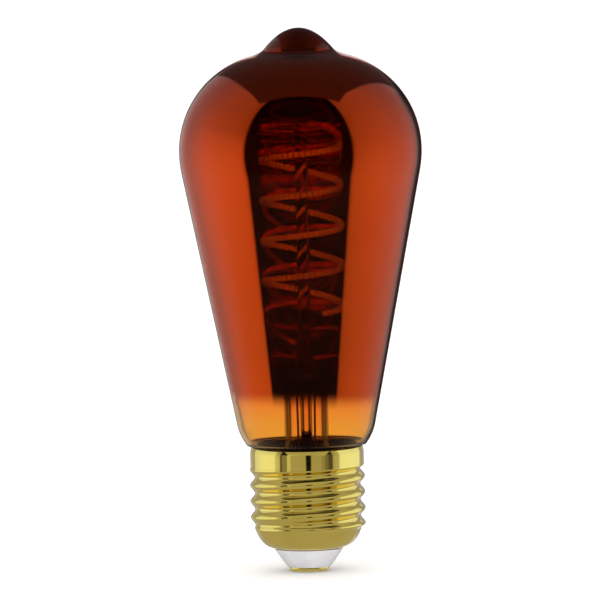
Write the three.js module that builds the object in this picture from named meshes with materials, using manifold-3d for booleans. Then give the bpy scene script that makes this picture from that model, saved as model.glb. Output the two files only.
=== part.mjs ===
import * as THREE from "three";
import Module from "manifold-3d";
import { mergeVertices } from "three/addons/utils/BufferGeometryUtils.js";

// A screw-cap filament lamp with a wireless driver inside its cap.
// It stands on its centre contact with the glass tip up; lengths are millimetres.

const wasm = await Module();
wasm.setup();

// Glass envelope: outer surface, from the tip down to the neck
const TIP_TOP = 123.6;
const TIP_BOTTOM = 118.7;
const TIP_BREADTH = 12.9;
const TIP_FOOT_RADIUS = 11.2;
const DOME_RADIUS = 22.4;
const WIDEST_RADIUS = 27.55;
const WIDEST_HEIGHT = 95.7;
const WAIST_RADIUS = 25;
const CONE_ANGLE = THREE.MathUtils.degToRad(11.19);
const SHOULDER_TOP = 33.5;
const SHOULDER_RADIUS = 11;
const SHOULDER_BOTTOM = 28.85;
const NECK_RADIUS = 12.3;
const NECK_BOTTOM = 23.9;
const GLASS_WALL = 0.9;

// Stem: the glass foot that carries the filament
const STEM_RADIUS = 5;
const STEM_WALL = 0.9;
const FLARE_RADIUS = 11.3;
const FLARE_BOTTOM = 24.05;
const FLARE_TOP = 30.5;
const STEM_SHOULDER = 42.4;
const STEM_TOP = 46;
const PRESS_UNDERSIDE = 43.1;
const EXHAUST_RADIUS = 1.3;
const EXHAUST_BORE = 0.75;
const EXHAUST_BOTTOM = 20;
const ROD_RADIUS = 1.35;
const ROD_TOP = 103;
const LEAD_OFFSET = 2;
const LEAD_RADIUS = 0.25;
const BEAD_RADIUS = 0.45;
const BEAD_HEIGHT = 42.3;

// Filament: one right-hand spiral strip, hanging askew: SPIRAL_SLANT is its rise towards -X
const SPIRAL_RADIUS = 9;
const SPIRAL_PITCH = 9.15;
const SPIRAL_TOP = 96.96;
const SPIRAL_SLANT = 0.068;
const SPIRAL_TURNS = 4.175;
const SPIRAL_STEPS = 66;
const CARRIER_THICKNESS = 0.3;
const CARRIER_HEIGHT = 1;
const PHOSPHOR_THICKNESS = 0.46;
const PHOSPHOR_HEIGHT = 1.3;
const LAYER_GAP = 0.02;

// Screw cap: 27 mm Edison shell
const SHELL_WALL = 0.3;
const RIM_TOP = 28.55;
const ROLL_BOTTOM = 27.25;
const ROLL_DEPTH = 0.25;
const BAND_BOTTOM = 24.3;
const BAND_RADIUS = 12.93;
const CREST_RADIUS = 13.1;
const ROOT_RADIUS = 12.05;
const THREAD_PITCH = 3.629;
const THREAD_PHASE = 14.28;
const THREAD_BOTTOM = 9.5;
const LIP_START = new THREE.Vector2(7.6, 5.25);
const LIP_BEND = new THREE.Vector2(10.75, 5.7);
const LIP_STEPS = 7;
const CONTACT_RADIUS = 4.6;
const CONTACT_FLAT = 3.2;
const CONTACT_HEIGHT = 1;
const RIVET_RADIUS = 1.2;
const CAP_FLOOR = 3.3;

// Driver electronics inside the cap
const SLEEVE_RADIUS = 11.5;
const SLEEVE_WALL = 0.5;
const SLEEVE_BOTTOM = 9.47;
const SLEEVE_TOP = 22.6;
const SLEEVE_HOLE = 6.2;
const BOARD_RADIUS = 10.4;
const BOARD_BOTTOM = 14.6;
const BOARD_TOP = 15.6;
const RADIO_WIDTH = 12;
const RADIO_THICKNESS = 0.8;
const RADIO_BOTTOM = 16.8;
const RADIO_TOP = 22.3;
const RADIO_FACE = 5.6;
const PIN_COUNT = 4;
const PIN_SPACING = 1.6;

// Corner counts of round pieces
const RING = 32;
const SMALL_RING = 16;
const WIRE_RING = 8;

const HALF_TURN = Math.PI;
const FULL_TURN = Math.PI * 2;

const finishes = {
  amberGlass: { color: 0xc8662c, roughness: 0.05, metalness: 0.3 },
  clearGlass: { color: 0xdfe6e4, roughness: 0.05, metalness: 0 },
  phosphor: { color: 0xe8c34a, roughness: 0.7, metalness: 0 },
  carrier: { color: 0xd8d2c2, roughness: 0.6, metalness: 0 },
  nickel: { color: 0xb9b6ad, roughness: 0.3, metalness: 1 },
  copper: { color: 0xb8683c, roughness: 0.35, metalness: 1 },
  brass: { color: 0xc9b56a, roughness: 0.25, metalness: 1 },
  whiteInsulator: { color: 0xe2e2e4, roughness: 0.4, metalness: 0 },
  cement: { color: 0x6b5b4a, roughness: 0.9, metalness: 0 },
  sleeve: { color: 0x2b2a28, roughness: 0.5, metalness: 0 },
  board: { color: 0x1f5a38, roughness: 0.45, metalness: 0 },
  blackCase: { color: 0x1b1b1d, roughness: 0.5, metalness: 0 },
  ferrite: { color: 0x3a3936, roughness: 0.6, metalness: 0 },
  canSleeve: { color: 0x2c3d57, roughness: 0.35, metalness: 0 },
  redCase: { color: 0x9c3a24, roughness: 0.45, metalness: 0 },
  blueDisc: { color: 0x2c5f9c, roughness: 0.45, metalness: 0 },
  beige: { color: 0xcdb88a, roughness: 0.6, metalness: 0 },
  redWire: { color: 0xa8261c, roughness: 0.45, metalness: 0 },
  blueWire: { color: 0x24428a, roughness: 0.45, metalness: 0 },
  solder: { color: 0xb4b6b8, roughness: 0.35, metalness: 1 },
};

const lamp = new THREE.Group();
lamp.name = "filament_lamp";

// Volume enclosed by a triangle mesh; it is negative when the faces point inwards.
function enclosedVolume(geometry) {
  const place = geometry.getAttribute("position");
  const order = geometry.getIndex();
  const corner = [new THREE.Vector3(), new THREE.Vector3(), new THREE.Vector3()];
  let volume = 0;
  for (let start = 0; start < order.count; start += 3) {
    for (let k = 0; k < 3; k += 1) {
      corner[k].fromBufferAttribute(place, order.getX(start + k));
    }
    volume += corner[0].dot(corner[1].cross(corner[2])) / 6;
  }
  return volume;
}

// One welded, indexed mesh without empty faces, its faces pointing outwards.
function welded(source) {
  const bare = source.clone();
  bare.deleteAttribute("normal");
  bare.deleteAttribute("uv");
  const merged = mergeVertices(bare, 1e-4);
  const order = merged.getIndex();
  const kept = [];
  for (let start = 0; start < order.count; start += 3) {
    const a = order.getX(start);
    const b = order.getX(start + 1);
    const c = order.getX(start + 2);
    if (a !== b && b !== c && c !== a) {
      kept.push(a, b, c);
    }
  }
  merged.setIndex(kept);
  if (enclosedVolume(merged) < 0) {
    for (let start = 0; start < kept.length; start += 3) {
      const swap = kept[start];
      kept[start] = kept[start + 1];
      kept[start + 1] = swap;
    }
    merged.setIndex(kept);
  }
  return merged;
}

function toSolid(source) {
  const mesh = welded(source);
  return new wasm.Manifold(new wasm.Mesh({
    numProp: 3,
    vertProperties: new Float32Array(mesh.getAttribute("position").array),
    triVerts: new Uint32Array(mesh.getIndex().array),
  }));
}

function fromSolid(solid) {
  const mesh = solid.getMesh();
  const geometry = new THREE.BufferGeometry();
  geometry.setAttribute("position", new THREE.BufferAttribute(mesh.vertProperties, 3));
  geometry.setIndex(new THREE.BufferAttribute(mesh.triVerts, 1));
  return geometry;
}

function joined(pieces) {
  let solid = toSolid(pieces[0]);
  for (const piece of pieces.slice(1)) {
    solid = solid.add(toSolid(piece));
  }
  return fromSolid(solid);
}

function cut(body, tools) {
  let solid = toSolid(body);
  for (const tool of tools) {
    solid = solid.subtract(toSolid(tool));
  }
  return fromSolid(solid);
}

function add(name, geometry, finish) {
  const shape = welded(geometry);
  shape.computeVertexNormals();
  const mesh = new THREE.Mesh(shape, new THREE.MeshStandardMaterial(finish));
  mesh.name = name;
  lamp.add(mesh);
}

// A body of revolution about the lamp axis from [radius, height] points.
function turned(points, corners = RING) {
  const profile = points.map(([r, z]) => new THREE.Vector2(r, z));
  return new THREE.LatheGeometry(profile, corners).rotateX(HALF_TURN / 2);
}

// A turned body whose profile is a closed loop clear of the axis.
function turnedLoop(points, corners = RING) {
  return turned([...points, points[0]], corners);
}

function upright(radius, bottom, top, corners = SMALL_RING) {
  return turned([[0, bottom], [radius, bottom], [radius, top], [0, top]], corners);
}

function block(width, depth, height) {
  return new THREE.BoxGeometry(width, depth, height);
}

function circleSection(radius, corners = WIRE_RING) {
  const section = [];
  for (let k = 0; k < corners; k += 1) {
    const angle = (k / corners) * FULL_TURN;
    section.push([radius * Math.cos(angle), radius * Math.sin(angle)]);
  }
  return section;
}

function flatSection(thickness, height, start = -thickness / 2) {
  return [
    [start, -height / 2],
    [start + thickness, -height / 2],
    [start + thickness, height / 2],
    [start, height / 2],
  ];
}

// A section carried along a run of points; its first direction follows facing(point).
function swept(run, section, facing) {
  const positions = [];
  const order = [];
  const sides = section.length;
  for (let step = 0; step < run.length; step += 1) {
    const before = run[Math.max(step - 1, 0)];
    const after = run[Math.min(step + 1, run.length - 1)];
    const along = after.clone().sub(before).normalize();
    const first = facing(run[step]).clone();
    first.addScaledVector(along, -first.dot(along)).normalize();
    const second = along.clone().cross(first);
    for (const [u, v] of section) {
      const corner = run[step].clone().addScaledVector(first, u).addScaledVector(second, v);
      positions.push(corner.x, corner.y, corner.z);
    }
  }
  for (let step = 0; step + 1 < run.length; step += 1) {
    for (let k = 0; k < sides; k += 1) {
      const here = step * sides + k;
      const next = step * sides + ((k + 1) % sides);
      order.push(here, next, next + sides);
      order.push(here, next + sides, here + sides);
    }
  }
  const last = (run.length - 1) * sides;
  for (let k = 1; k + 1 < sides; k += 1) {
    order.push(0, k + 1, k);
    order.push(last, last + k, last + k + 1);
  }
  const geometry = new THREE.BufferGeometry();
  geometry.setAttribute("position", new THREE.Float32BufferAttribute(positions, 3));
  geometry.setIndex(order);
  return geometry;
}

const fromAxis = (point) => new THREE.Vector3(point.x, point.y, 0);

// A round wire through the given points, smoothed between them.
function wire(points, radius, steps) {
  const knots = points.map(([x, y, z]) => new THREE.Vector3(x, y, z));
  const curve = new THREE.CatmullRomCurve3(knots, false, "centripetal");
  const facing = () => new THREE.Vector3(0.31, 0.95, 0.03);
  return swept(curve.getPoints(steps), circleSection(radius), facing);
}

// Points on an arc about [centreR, centreZ], angles measured from the outward direction.
function arc(centreR, centreZ, radius, startAngle, endAngle, steps) {
  const points = [];
  for (let k = 0; k <= steps; k += 1) {
    const angle = startAngle + ((endAngle - startAngle) * k) / steps;
    points.push([centreR + radius * Math.cos(angle), centreZ + radius * Math.sin(angle)]);
  }
  return points;
}

// A quadratic curve and its left-hand normals, as [r, z, normalR, normalZ].
function bend(start, control, end, steps) {
  const rows = [];
  for (let k = 0; k <= steps; k += 1) {
    const t = k / steps;
    const r = (1 - t) ** 2 * start.x + 2 * t * (1 - t) * control.x + t * t * end.x;
    const z = (1 - t) ** 2 * start.y + 2 * t * (1 - t) * control.y + t * t * end.y;
    const slopeR = (1 - t) * (control.x - start.x) + t * (end.x - control.x);
    const slopeZ = (1 - t) * (control.y - start.y) + t * (end.y - control.y);
    const length = Math.hypot(slopeR, slopeZ);
    rows.push([r, z, -slopeZ / length, slopeR / length]);
  }
  return rows;
}

// Glass envelope ------------------------------------------------------------

// Outer half profile of the envelope, from the tip to the shoulder, as [radius, height].
// The tip is a paraboloid, TIP_BREADTH being its radius squared for each millimetre down.
// Each arc has a few steps for every unit of detail.
function envelopeProfile(detail) {
  const domeR = WIDEST_RADIUS - DOME_RADIUS;
  const domeZ = WIDEST_HEIGHT;
  const domeStart = Math.acos((TIP_FOOT_RADIUS - domeR) / DOME_RADIUS);
  const tip = [[0, TIP_TOP]];
  for (let k = 1; k <= 2 * detail; k += 1) {
    const r = (Math.sqrt(TIP_BREADTH * (TIP_TOP - TIP_BOTTOM)) * k) / (2 * detail);
    tip.push([r, TIP_TOP - (r * r) / TIP_BREADTH]);
  }
  const [tipR] = tip[tip.length - 1];
  const tipSlope = (-2 * tipR) / TIP_BREADTH;
  const footZ = domeZ + DOME_RADIUS * Math.sin(domeStart);
  const footSlope = -1 / Math.tan(domeStart);
  const meetR = (TIP_BOTTOM - footZ - tipSlope * tipR + footSlope * TIP_FOOT_RADIUS)
    / (footSlope - tipSlope);
  const meet = new THREE.Vector2(meetR, TIP_BOTTOM + tipSlope * (meetR - tipR));
  const fillet = bend(
    new THREE.Vector2(tipR, TIP_BOTTOM), meet, new THREE.Vector2(TIP_FOOT_RADIUS, footZ), detail,
  ).map(([r, z]) => [r, z]);
  const waistR = WIDEST_RADIUS - WAIST_RADIUS;
  const coneTopR = waistR + WAIST_RADIUS * Math.cos(CONE_ANGLE);
  const coneTopZ = domeZ - WAIST_RADIUS * Math.sin(CONE_ANGLE);
  const coneBottomR = coneTopR - (coneTopZ - SHOULDER_TOP) * Math.tan(CONE_ANGLE);
  const shoulderR = coneBottomR - SHOULDER_RADIUS * Math.cos(CONE_ANGLE);
  const shoulderZ = SHOULDER_TOP + SHOULDER_RADIUS * Math.sin(CONE_ANGLE);
  const shoulderEnd = -Math.asin((shoulderZ - SHOULDER_BOTTOM) / SHOULDER_RADIUS);
  const dome = arc(domeR, domeZ, DOME_RADIUS, domeStart, 0, 3 * detail);
  const waist = arc(waistR, domeZ, WAIST_RADIUS, 0, -CONE_ANGLE, detail - 1);
  const shoulder = arc(
    shoulderR, shoulderZ, SHOULDER_RADIUS, -CONE_ANGLE, shoulderEnd, detail,
  );
  return [...tip, ...fillet.slice(1), ...dome.slice(1), ...waist.slice(1), ...shoulder];
}

// A half profile moved inwards along its own normals; its first point stays on the axis.
function inset(profile, depth) {
  return profile.map(([r, z], k) => {
    const [beforeR, beforeZ] = profile[Math.max(k - 1, 0)];
    const [afterR, afterZ] = profile[Math.min(k + 1, profile.length - 1)];
    const length = Math.hypot(afterR - beforeR, afterZ - beforeZ);
    if (k === 0) {
      return [0, z - depth];
    }
    return [
      r + (depth * (afterZ - beforeZ)) / length,
      z - (depth * (afterR - beforeR)) / length,
    ];
  });
}

function glassEnvelope() {
  const outside = envelopeProfile(3);
  const inside = inset(envelopeProfile(2), GLASS_WALL).reverse();
  const bore = NECK_RADIUS - GLASS_WALL;
  return turned([
    ...outside,
    [NECK_RADIUS, SHOULDER_BOTTOM - 0.05],
    [NECK_RADIUS, NECK_BOTTOM],
    [bore, NECK_BOTTOM],
    [bore, SHOULDER_BOTTOM],
    ...inside,
  ]);
}

add("glass_envelope", glassEnvelope(), finishes.amberGlass);

// Stem, exhaust tube and support rod ----------------------------------------

function stemTube() {
  const flareEnd = new THREE.Vector2(STEM_RADIUS, FLARE_TOP);
  const flareStart = new THREE.Vector2(FLARE_RADIUS, FLARE_BOTTOM + STEM_WALL);
  const flareBend = new THREE.Vector2(STEM_RADIUS, FLARE_BOTTOM + STEM_WALL + 0.4);
  const flare = bend(flareStart, flareBend, flareEnd, 6);
  const outside = flare.map(([r, z]) => [r, z]);
  const hollow = flare.map(([r, z, normalR, normalZ]) => [
    r + normalR * STEM_WALL,
    z + normalZ * STEM_WALL,
  ]);
  hollow[0] = [FLARE_RADIUS, FLARE_BOTTOM];
  const closeStart = new THREE.Vector2(STEM_RADIUS, STEM_SHOULDER);
  const closeBend = new THREE.Vector2(STEM_RADIUS, STEM_TOP);
  const closeEnd = new THREE.Vector2(ROD_RADIUS, STEM_TOP);
  const close = bend(closeStart, closeBend, closeEnd, 5).map(([r, z]) => [r, z]);
  const bore = STEM_RADIUS - STEM_WALL;
  const body = turned([
    ...hollow.slice(0, 1),
    ...outside,
    ...close,
    [0, STEM_TOP],
    [0, PRESS_UNDERSIDE],
    [bore - 0.6, PRESS_UNDERSIDE],
    [bore, PRESS_UNDERSIDE - 0.6],
    ...hollow.slice(1).reverse(),
    hollow[0],
  ], 24);
  const holes = [-1, 1].map((side) => {
    const hole = upright(LEAD_RADIUS + 0.06, PRESS_UNDERSIDE - 1, STEM_TOP + 1, WIRE_RING);
    return hole.translate(side * LEAD_OFFSET, 0, 0);
  });
  return cut(body, holes);
}

add("stem_tube", stemTube(), finishes.clearGlass);

add("exhaust_tube", turned([
  [0, EXHAUST_BOTTOM],
  [EXHAUST_RADIUS * 0.5, EXHAUST_BOTTOM + 0.3],
  [EXHAUST_RADIUS, EXHAUST_BOTTOM + 1.6],
  [EXHAUST_RADIUS, PRESS_UNDERSIDE - 0.03],
  [EXHAUST_BORE, PRESS_UNDERSIDE - 0.03],
  [EXHAUST_BORE, EXHAUST_BOTTOM + 2.2],
  [0, EXHAUST_BOTTOM + 1.4],
], SMALL_RING), finishes.clearGlass);

add("support_rod", turned([
  [0, STEM_TOP + 0.03],
  [ROD_RADIUS, STEM_TOP + 0.03],
  [ROD_RADIUS, ROD_TOP - 0.9],
  [ROD_RADIUS * 0.72, ROD_TOP - 0.25],
  [0, ROD_TOP],
], SMALL_RING), finishes.clearGlass);

// Filament ------------------------------------------------------------------

const spiralRun = [];
for (let step = 0; step <= SPIRAL_STEPS; step += 1) {
  const turns = (SPIRAL_TURNS * step) / SPIRAL_STEPS;
  const angle = -turns * FULL_TURN;
  const x = SPIRAL_RADIUS * Math.cos(angle);
  const drop = turns * SPIRAL_PITCH - SPIRAL_SLANT * (SPIRAL_RADIUS - x);
  spiralRun.push(new THREE.Vector3(x, SPIRAL_RADIUS * Math.sin(angle), SPIRAL_TOP - drop));
}

const halfCarrier = CARRIER_THICKNESS / 2;
const layerStart = halfCarrier + LAYER_GAP;
add(
  "filament_carrier",
  swept(spiralRun, flatSection(CARRIER_THICKNESS, CARRIER_HEIGHT), fromAxis),
  finishes.carrier,
);
add(
  "filament_phosphor_outer",
  swept(spiralRun, flatSection(PHOSPHOR_THICKNESS, PHOSPHOR_HEIGHT, layerStart), fromAxis),
  finishes.phosphor,
);
add(
  "filament_phosphor_inner",
  swept(
    spiralRun,
    flatSection(PHOSPHOR_THICKNESS, PHOSPHOR_HEIGHT, -layerStart - PHOSPHOR_THICKNESS),
    fromAxis,
  ),
  finishes.phosphor,
);

// Each end tab leaves the end of the carrier strip and reaches its lead wire.
const lastPoint = spiralRun[SPIRAL_STEPS];
const topTabRun = [
  new THREE.Vector3(SPIRAL_RADIUS, 0.06, SPIRAL_TOP + 0.02),
  new THREE.Vector3(SPIRAL_RADIUS - 0.03, 0.6, SPIRAL_TOP - 0.05),
  new THREE.Vector3(SPIRAL_RADIUS - 0.06, 0.95, SPIRAL_TOP - 0.7),
  new THREE.Vector3(SPIRAL_RADIUS - 0.1, 1, SPIRAL_TOP - 4.6),
];
const bottomTabRun = [
  new THREE.Vector3(lastPoint.x - 0.13, lastPoint.y - 0.07, lastPoint.z),
  new THREE.Vector3(-0.76, -2.28, lastPoint.z + 0.6),
];
const bottomTabAlong = bottomTabRun[1].clone().sub(bottomTabRun[0]);
const bottomTabAcross = new THREE.Vector3(bottomTabAlong.y, -bottomTabAlong.x, 0);
add("filament_tab_top", swept(topTabRun, flatSection(0.2, 0.8), fromAxis), finishes.nickel);
add(
  "filament_tab_bottom",
  swept(bottomTabRun, flatSection(0.2, 0.8), () => bottomTabAcross),
  finishes.nickel,
);

// Lead wires ----------------------------------------------------------------

add("inner_lead_top", wire([
  [LEAD_OFFSET, 0, BEAD_HEIGHT + BEAD_RADIUS],
  [LEAD_OFFSET, 0, STEM_TOP + 0.6],
  [1.6, -0.9, STEM_TOP + 4],
  [1.25, -1.35, STEM_TOP + 8],
  [1.25, -1.35, 70],
  [1.25, -1.35, SPIRAL_TOP - 6.1],
  [1.6, -1.3, SPIRAL_TOP - 4.6],
  [3, -1, SPIRAL_TOP - 4.1],
  [8.5, 0.98, SPIRAL_TOP - 4.2],
], LEAD_RADIUS, 22), finishes.nickel);

add("inner_lead_bottom", wire([
  [-LEAD_OFFSET, 0, BEAD_HEIGHT + BEAD_RADIUS],
  [-LEAD_OFFSET, 0, STEM_TOP + 0.6],
  [-1.7, -1, STEM_TOP + 4],
  [-1.05, -1.9, STEM_TOP + 9],
  [-0.95, -2.05, lastPoint.z + 1.2],
], LEAD_RADIUS, 12), finishes.nickel);

const leadHoles = [[-3.4, 0.8], [3.4, 0.8]];
const leadNames = ["a", "b"];
leadHoles.forEach(([holeX, holeY], index) => {
  const side = Math.sign(holeX);
  add("weld_bead_" + leadNames[index], new THREE.SphereGeometry(BEAD_RADIUS, 10, 7)
    .rotateX(HALF_TURN / 2)
    .translate(side * LEAD_OFFSET, 0, BEAD_HEIGHT), finishes.solder);
  add("outer_lead_" + leadNames[index], wire([
    [side * LEAD_OFFSET, 0, BEAD_HEIGHT - BEAD_RADIUS],
    [side * LEAD_OFFSET, 0, 26],
    [side * 2.6, 0.3, 21],
    [holeX, holeY, 18.4],
    [holeX, holeY, BOARD_BOTTOM - 0.3],
  ], LEAD_RADIUS, 12), finishes.copper);
});

// Screw shell ---------------------------------------------------------------

function threadRise(angle, height) {
  const crest = THREAD_PHASE + (THREAD_PITCH * angle) / FULL_TURN;
  const wave = 0.5 + 0.5 * Math.cos((FULL_TURN * (height - crest)) / THREAD_PITCH);
  const fadeIn = THREE.MathUtils.smoothstep(height, THREAD_BOTTOM - 0.2, THREAD_BOTTOM + 1.3);
  const fadeOut = THREE.MathUtils.smoothstep(height, BAND_BOTTOM - 1.2, BAND_BOTTOM);
  const thread = (CREST_RADIUS - ROOT_RADIUS) * wave * fadeIn;
  return THREE.MathUtils.lerp(thread, BAND_RADIUS - ROOT_RADIUS, fadeOut);
}

// The sheet runs from the rolled lip up through the thread to the rim band, rolled in on top.
function screwShell() {
  const lipEnd = new THREE.Vector2(ROOT_RADIUS, THREAD_BOTTOM);
  const rows = bend(LIP_START, LIP_BEND, lipEnd, LIP_STEPS).slice(0, -1);
  const threadRows = 27;
  for (let k = 0; k <= threadRows; k += 1) {
    const height = THREAD_BOTTOM + ((BAND_BOTTOM - THREAD_BOTTOM) * k) / threadRows;
    rows.push([ROOT_RADIUS, height, -1, 0]);
  }
  rows.push([ROOT_RADIUS, ROLL_BOTTOM, -1, 0]);
  rows.push([ROOT_RADIUS - ROLL_DEPTH, RIM_TOP, -1, 0]);
  const positions = [];
  const place = (row, angle, depth) => {
    const [r, z, normalR, normalZ] = row;
    const radius = r + threadRise(angle, z) + normalR * depth;
    positions.push(radius * Math.cos(angle), radius * Math.sin(angle), z + normalZ * depth);
  };
  const loop = [
    ...rows.map((row) => [row, 0]),
    ...rows.map((row) => [row, SHELL_WALL]).reverse(),
  ];
  for (const [row, depth] of loop) {
    for (let k = 0; k < RING; k += 1) {
      place(row, (k / RING) * FULL_TURN, depth);
    }
  }
  const order = [];
  for (let row = 0; row < loop.length; row += 1) {
    const above = (row + 1) % loop.length;
    for (let k = 0; k < RING; k += 1) {
      const next = (k + 1) % RING;
      order.push(row * RING + k, row * RING + next, above * RING + next);
      order.push(row * RING + k, above * RING + next, above * RING + k);
    }
  }
  const geometry = new THREE.BufferGeometry();
  geometry.setAttribute("position", new THREE.Float32BufferAttribute(positions, 3));
  geometry.setIndex(order);
  return geometry;
}

add("screw_shell", screwShell(), finishes.brass);

add("cement_ring", turnedLoop([
  [NECK_RADIUS + 0.03, 24.7],
  [BAND_RADIUS - SHELL_WALL - 0.03, 24.7],
  [BAND_RADIUS - SHELL_WALL - 0.03, ROLL_BOTTOM - 0.1],
  [BAND_RADIUS - SHELL_WALL - 0.18, ROLL_BOTTOM + 0.6],
  [NECK_RADIUS + 0.03, ROLL_BOTTOM + 0.6],
]), finishes.cement);

// Insulator, centre contact and rivet ---------------------------------------

function capInsulator() {
  const lipEnd = new THREE.Vector2(ROOT_RADIUS, THREAD_BOTTOM);
  const seat = bend(LIP_START, LIP_BEND, lipEnd, LIP_STEPS).slice(0, -1);
  const gap = SHELL_WALL + 0.04;
  const flange = seat.map(([r, z, normalR, normalZ]) => [r + normalR * gap, z + normalZ * gap]);
  const top = SLEEVE_BOTTOM - 0.02;
  const widest = flange[flange.length - 1][0];
  return turnedLoop([
    [RIVET_RADIUS + 0.05, CONTACT_HEIGHT],
    [CONTACT_RADIUS + 0.35, CONTACT_HEIGHT],
    [7.95, 5.2],
    [7.3, 5.2],
    ...flange,
    [widest, top],
    [10.4, top],
    [9, 7.4],
    [6.2, 5.4],
    [CAP_FLOOR, CAP_FLOOR],
    [RIVET_RADIUS + 0.05, CAP_FLOOR],
  ]);
}

add("cap_insulator", capInsulator(), finishes.whiteInsulator);

add("centre_contact", turned([
  [0, 0],
  [CONTACT_FLAT, 0],
  [CONTACT_RADIUS - 0.55, 0.12],
  [CONTACT_RADIUS - 0.12, 0.4],
  [CONTACT_RADIUS, 0.7],
  [CONTACT_RADIUS, CONTACT_HEIGHT - 0.02],
  [0, CONTACT_HEIGHT - 0.02],
]), finishes.brass);

add("contact_rivet", turned([
  [0, CONTACT_HEIGHT],
  [RIVET_RADIUS, CONTACT_HEIGHT],
  [RIVET_RADIUS, CAP_FLOOR + 0.03],
  [2.2, CAP_FLOOR + 0.03],
  [2, CAP_FLOOR + 0.5],
  [0, CAP_FLOOR + 0.6],
], SMALL_RING), finishes.brass);

// Driver sleeve and board ---------------------------------------------------

add("driver_sleeve", turnedLoop([
  [SLEEVE_HOLE, SLEEVE_BOTTOM],
  [SLEEVE_RADIUS, SLEEVE_BOTTOM],
  [SLEEVE_RADIUS, SLEEVE_TOP],
  [SLEEVE_RADIUS - SLEEVE_WALL, SLEEVE_TOP],
  [SLEEVE_RADIUS - SLEEVE_WALL, SLEEVE_BOTTOM + SLEEVE_WALL],
  [SLEEVE_HOLE, SLEEVE_BOTTOM + SLEEVE_WALL],
]), finishes.sleeve);

const capacitorPlace = [1.5, 1];
const capacitorLegs = [[1.5, -0.25], [1.5, 2.25]];
const liveHole = [-3.9, -3.7];
const neutralHole = [9.1, 1.2];
const fuseLegs = [[-5.4, -7.4], [2.6, -7.4]];
const pinRow = RADIO_FACE + RADIO_THICKNESS + 0.3;
const pinPlaces = [];
for (let k = 0; k < PIN_COUNT; k += 1) {
  pinPlaces.push([(k - (PIN_COUNT - 1) / 2) * PIN_SPACING, pinRow]);
}

function driverBoard() {
  const holes = [
    ...leadHoles.map((place) => [place, LEAD_RADIUS + 0.1]),
    ...capacitorLegs.map((place) => [place, 0.4]),
    ...fuseLegs.map((place) => [place, 0.4]),
    ...pinPlaces.map((place) => [place, 0.45]),
    [liveHole, 0.6],
    [neutralHole, 0.6],
  ];
  const tools = holes.map(([[x, y], radius]) => {
    return upright(radius, BOARD_BOTTOM - 1, BOARD_TOP + 1, WIRE_RING).translate(x, y, 0);
  });
  return cut(upright(BOARD_RADIUS, BOARD_BOTTOM, BOARD_TOP, RING), tools);
}

add("driver_board", driverBoard(), finishes.board);

// Parts under the board -----------------------------------------------------

function legs(places, radius, bottom, top) {
  return places.map(([x, y]) => upright(radius, bottom, top, 6).translate(x, y, 0));
}

const canTop = BOARD_BOTTOM - 0.5;
const can = turned([
  [0, 6.1],
  [3.7, 6.1],
  [4, 6.5],
  [4, canTop - 1.9],
  [3.75, canTop - 1.55],
  [4, canTop - 1.2],
  [4, canTop - 0.3],
  [3.6, canTop],
  [0, canTop],
], 20).translate(capacitorPlace[0], capacitorPlace[1], 0);
add(
  "bulk_capacitor",
  joined([can, ...legs(capacitorLegs, 0.25, canTop - 0.5, BOARD_TOP + 0.5)]),
  finishes.canSleeve,
);

// A flat-bottomed chip case with gull-wing legs along its two long sides.
function chip(width, depth, height, legCount, legSpacing, legReach) {
  const pieces = [block(width, depth, height).translate(0, 0, height / 2 + 0.1)];
  for (let k = 0; k < legCount; k += 1) {
    const x = (k - (legCount - 1) / 2) * legSpacing;
    for (const side of [-1, 1]) {
      const y = side * (depth / 2 + legReach / 2);
      pieces.push(block(0.4, 0.5, 0.2).translate(x, side * depth / 2, height * 0.5));
      pieces.push(block(0.4, 0.2, height * 0.5 + 0.1)
        .translate(x, side * (depth / 2 + 0.3), height * 0.25 + 0.05));
      pieces.push(block(0.4, legReach - 0.2, 0.2).translate(x, y + side * 0.1, 0.1));
    }
  }
  return joined(pieces);
}

function underBoard(geometry, x, y, turn = 0) {
  return geometry.rotateX(HALF_TURN).rotateZ(turn).translate(x, y, BOARD_BOTTOM);
}

function onBoard(geometry, x, y, turn = 0) {
  return geometry.rotateZ(turn).translate(x, y, BOARD_TOP);
}

add(
  "bridge_rectifier",
  underBoard(chip(3.9, 4.7, 2.2, 2, 2.5, 0.9), -7.2, -1.4),
  finishes.blackCase,
);

const filmTurn = THREE.MathUtils.degToRad(140);
const filmCase = block(2.4, 5, 3.9).translate(8, 0, BOARD_BOTTOM - 2.05);
const filmLegs = [-1.6, 1.6].map((y) => block(0.4, 0.4, 0.4).translate(8, y, BOARD_BOTTOM - 0.2));
add("film_capacitor", joined([filmCase, ...filmLegs]).rotateZ(filmTurn), finishes.redCase);

const fuseBody = new THREE.CapsuleGeometry(1.15, 3.6, 3, 12).rotateZ(HALF_TURN / 2);
const fuseHeight = 13;
const fuseCentre = (fuseLegs[0][0] + fuseLegs[1][0]) / 2;
const fuseLead = wire([
  [fuseLegs[0][0], fuseLegs[0][1], BOARD_TOP + 0.4],
  [fuseLegs[0][0], fuseLegs[0][1], fuseHeight + 0.5],
  [fuseLegs[0][0] + 0.6, fuseLegs[0][1], fuseHeight],
  [fuseLegs[1][0] - 0.6, fuseLegs[1][1], fuseHeight],
  [fuseLegs[1][0], fuseLegs[1][1], fuseHeight + 0.5],
  [fuseLegs[1][0], fuseLegs[1][1], BOARD_TOP + 0.4],
], 0.25, 20);
add(
  "fuse_resistor",
  joined([fuseBody.translate(fuseCentre, fuseLegs[0][1], fuseHeight), fuseLead]),
  finishes.beige,
);

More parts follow.
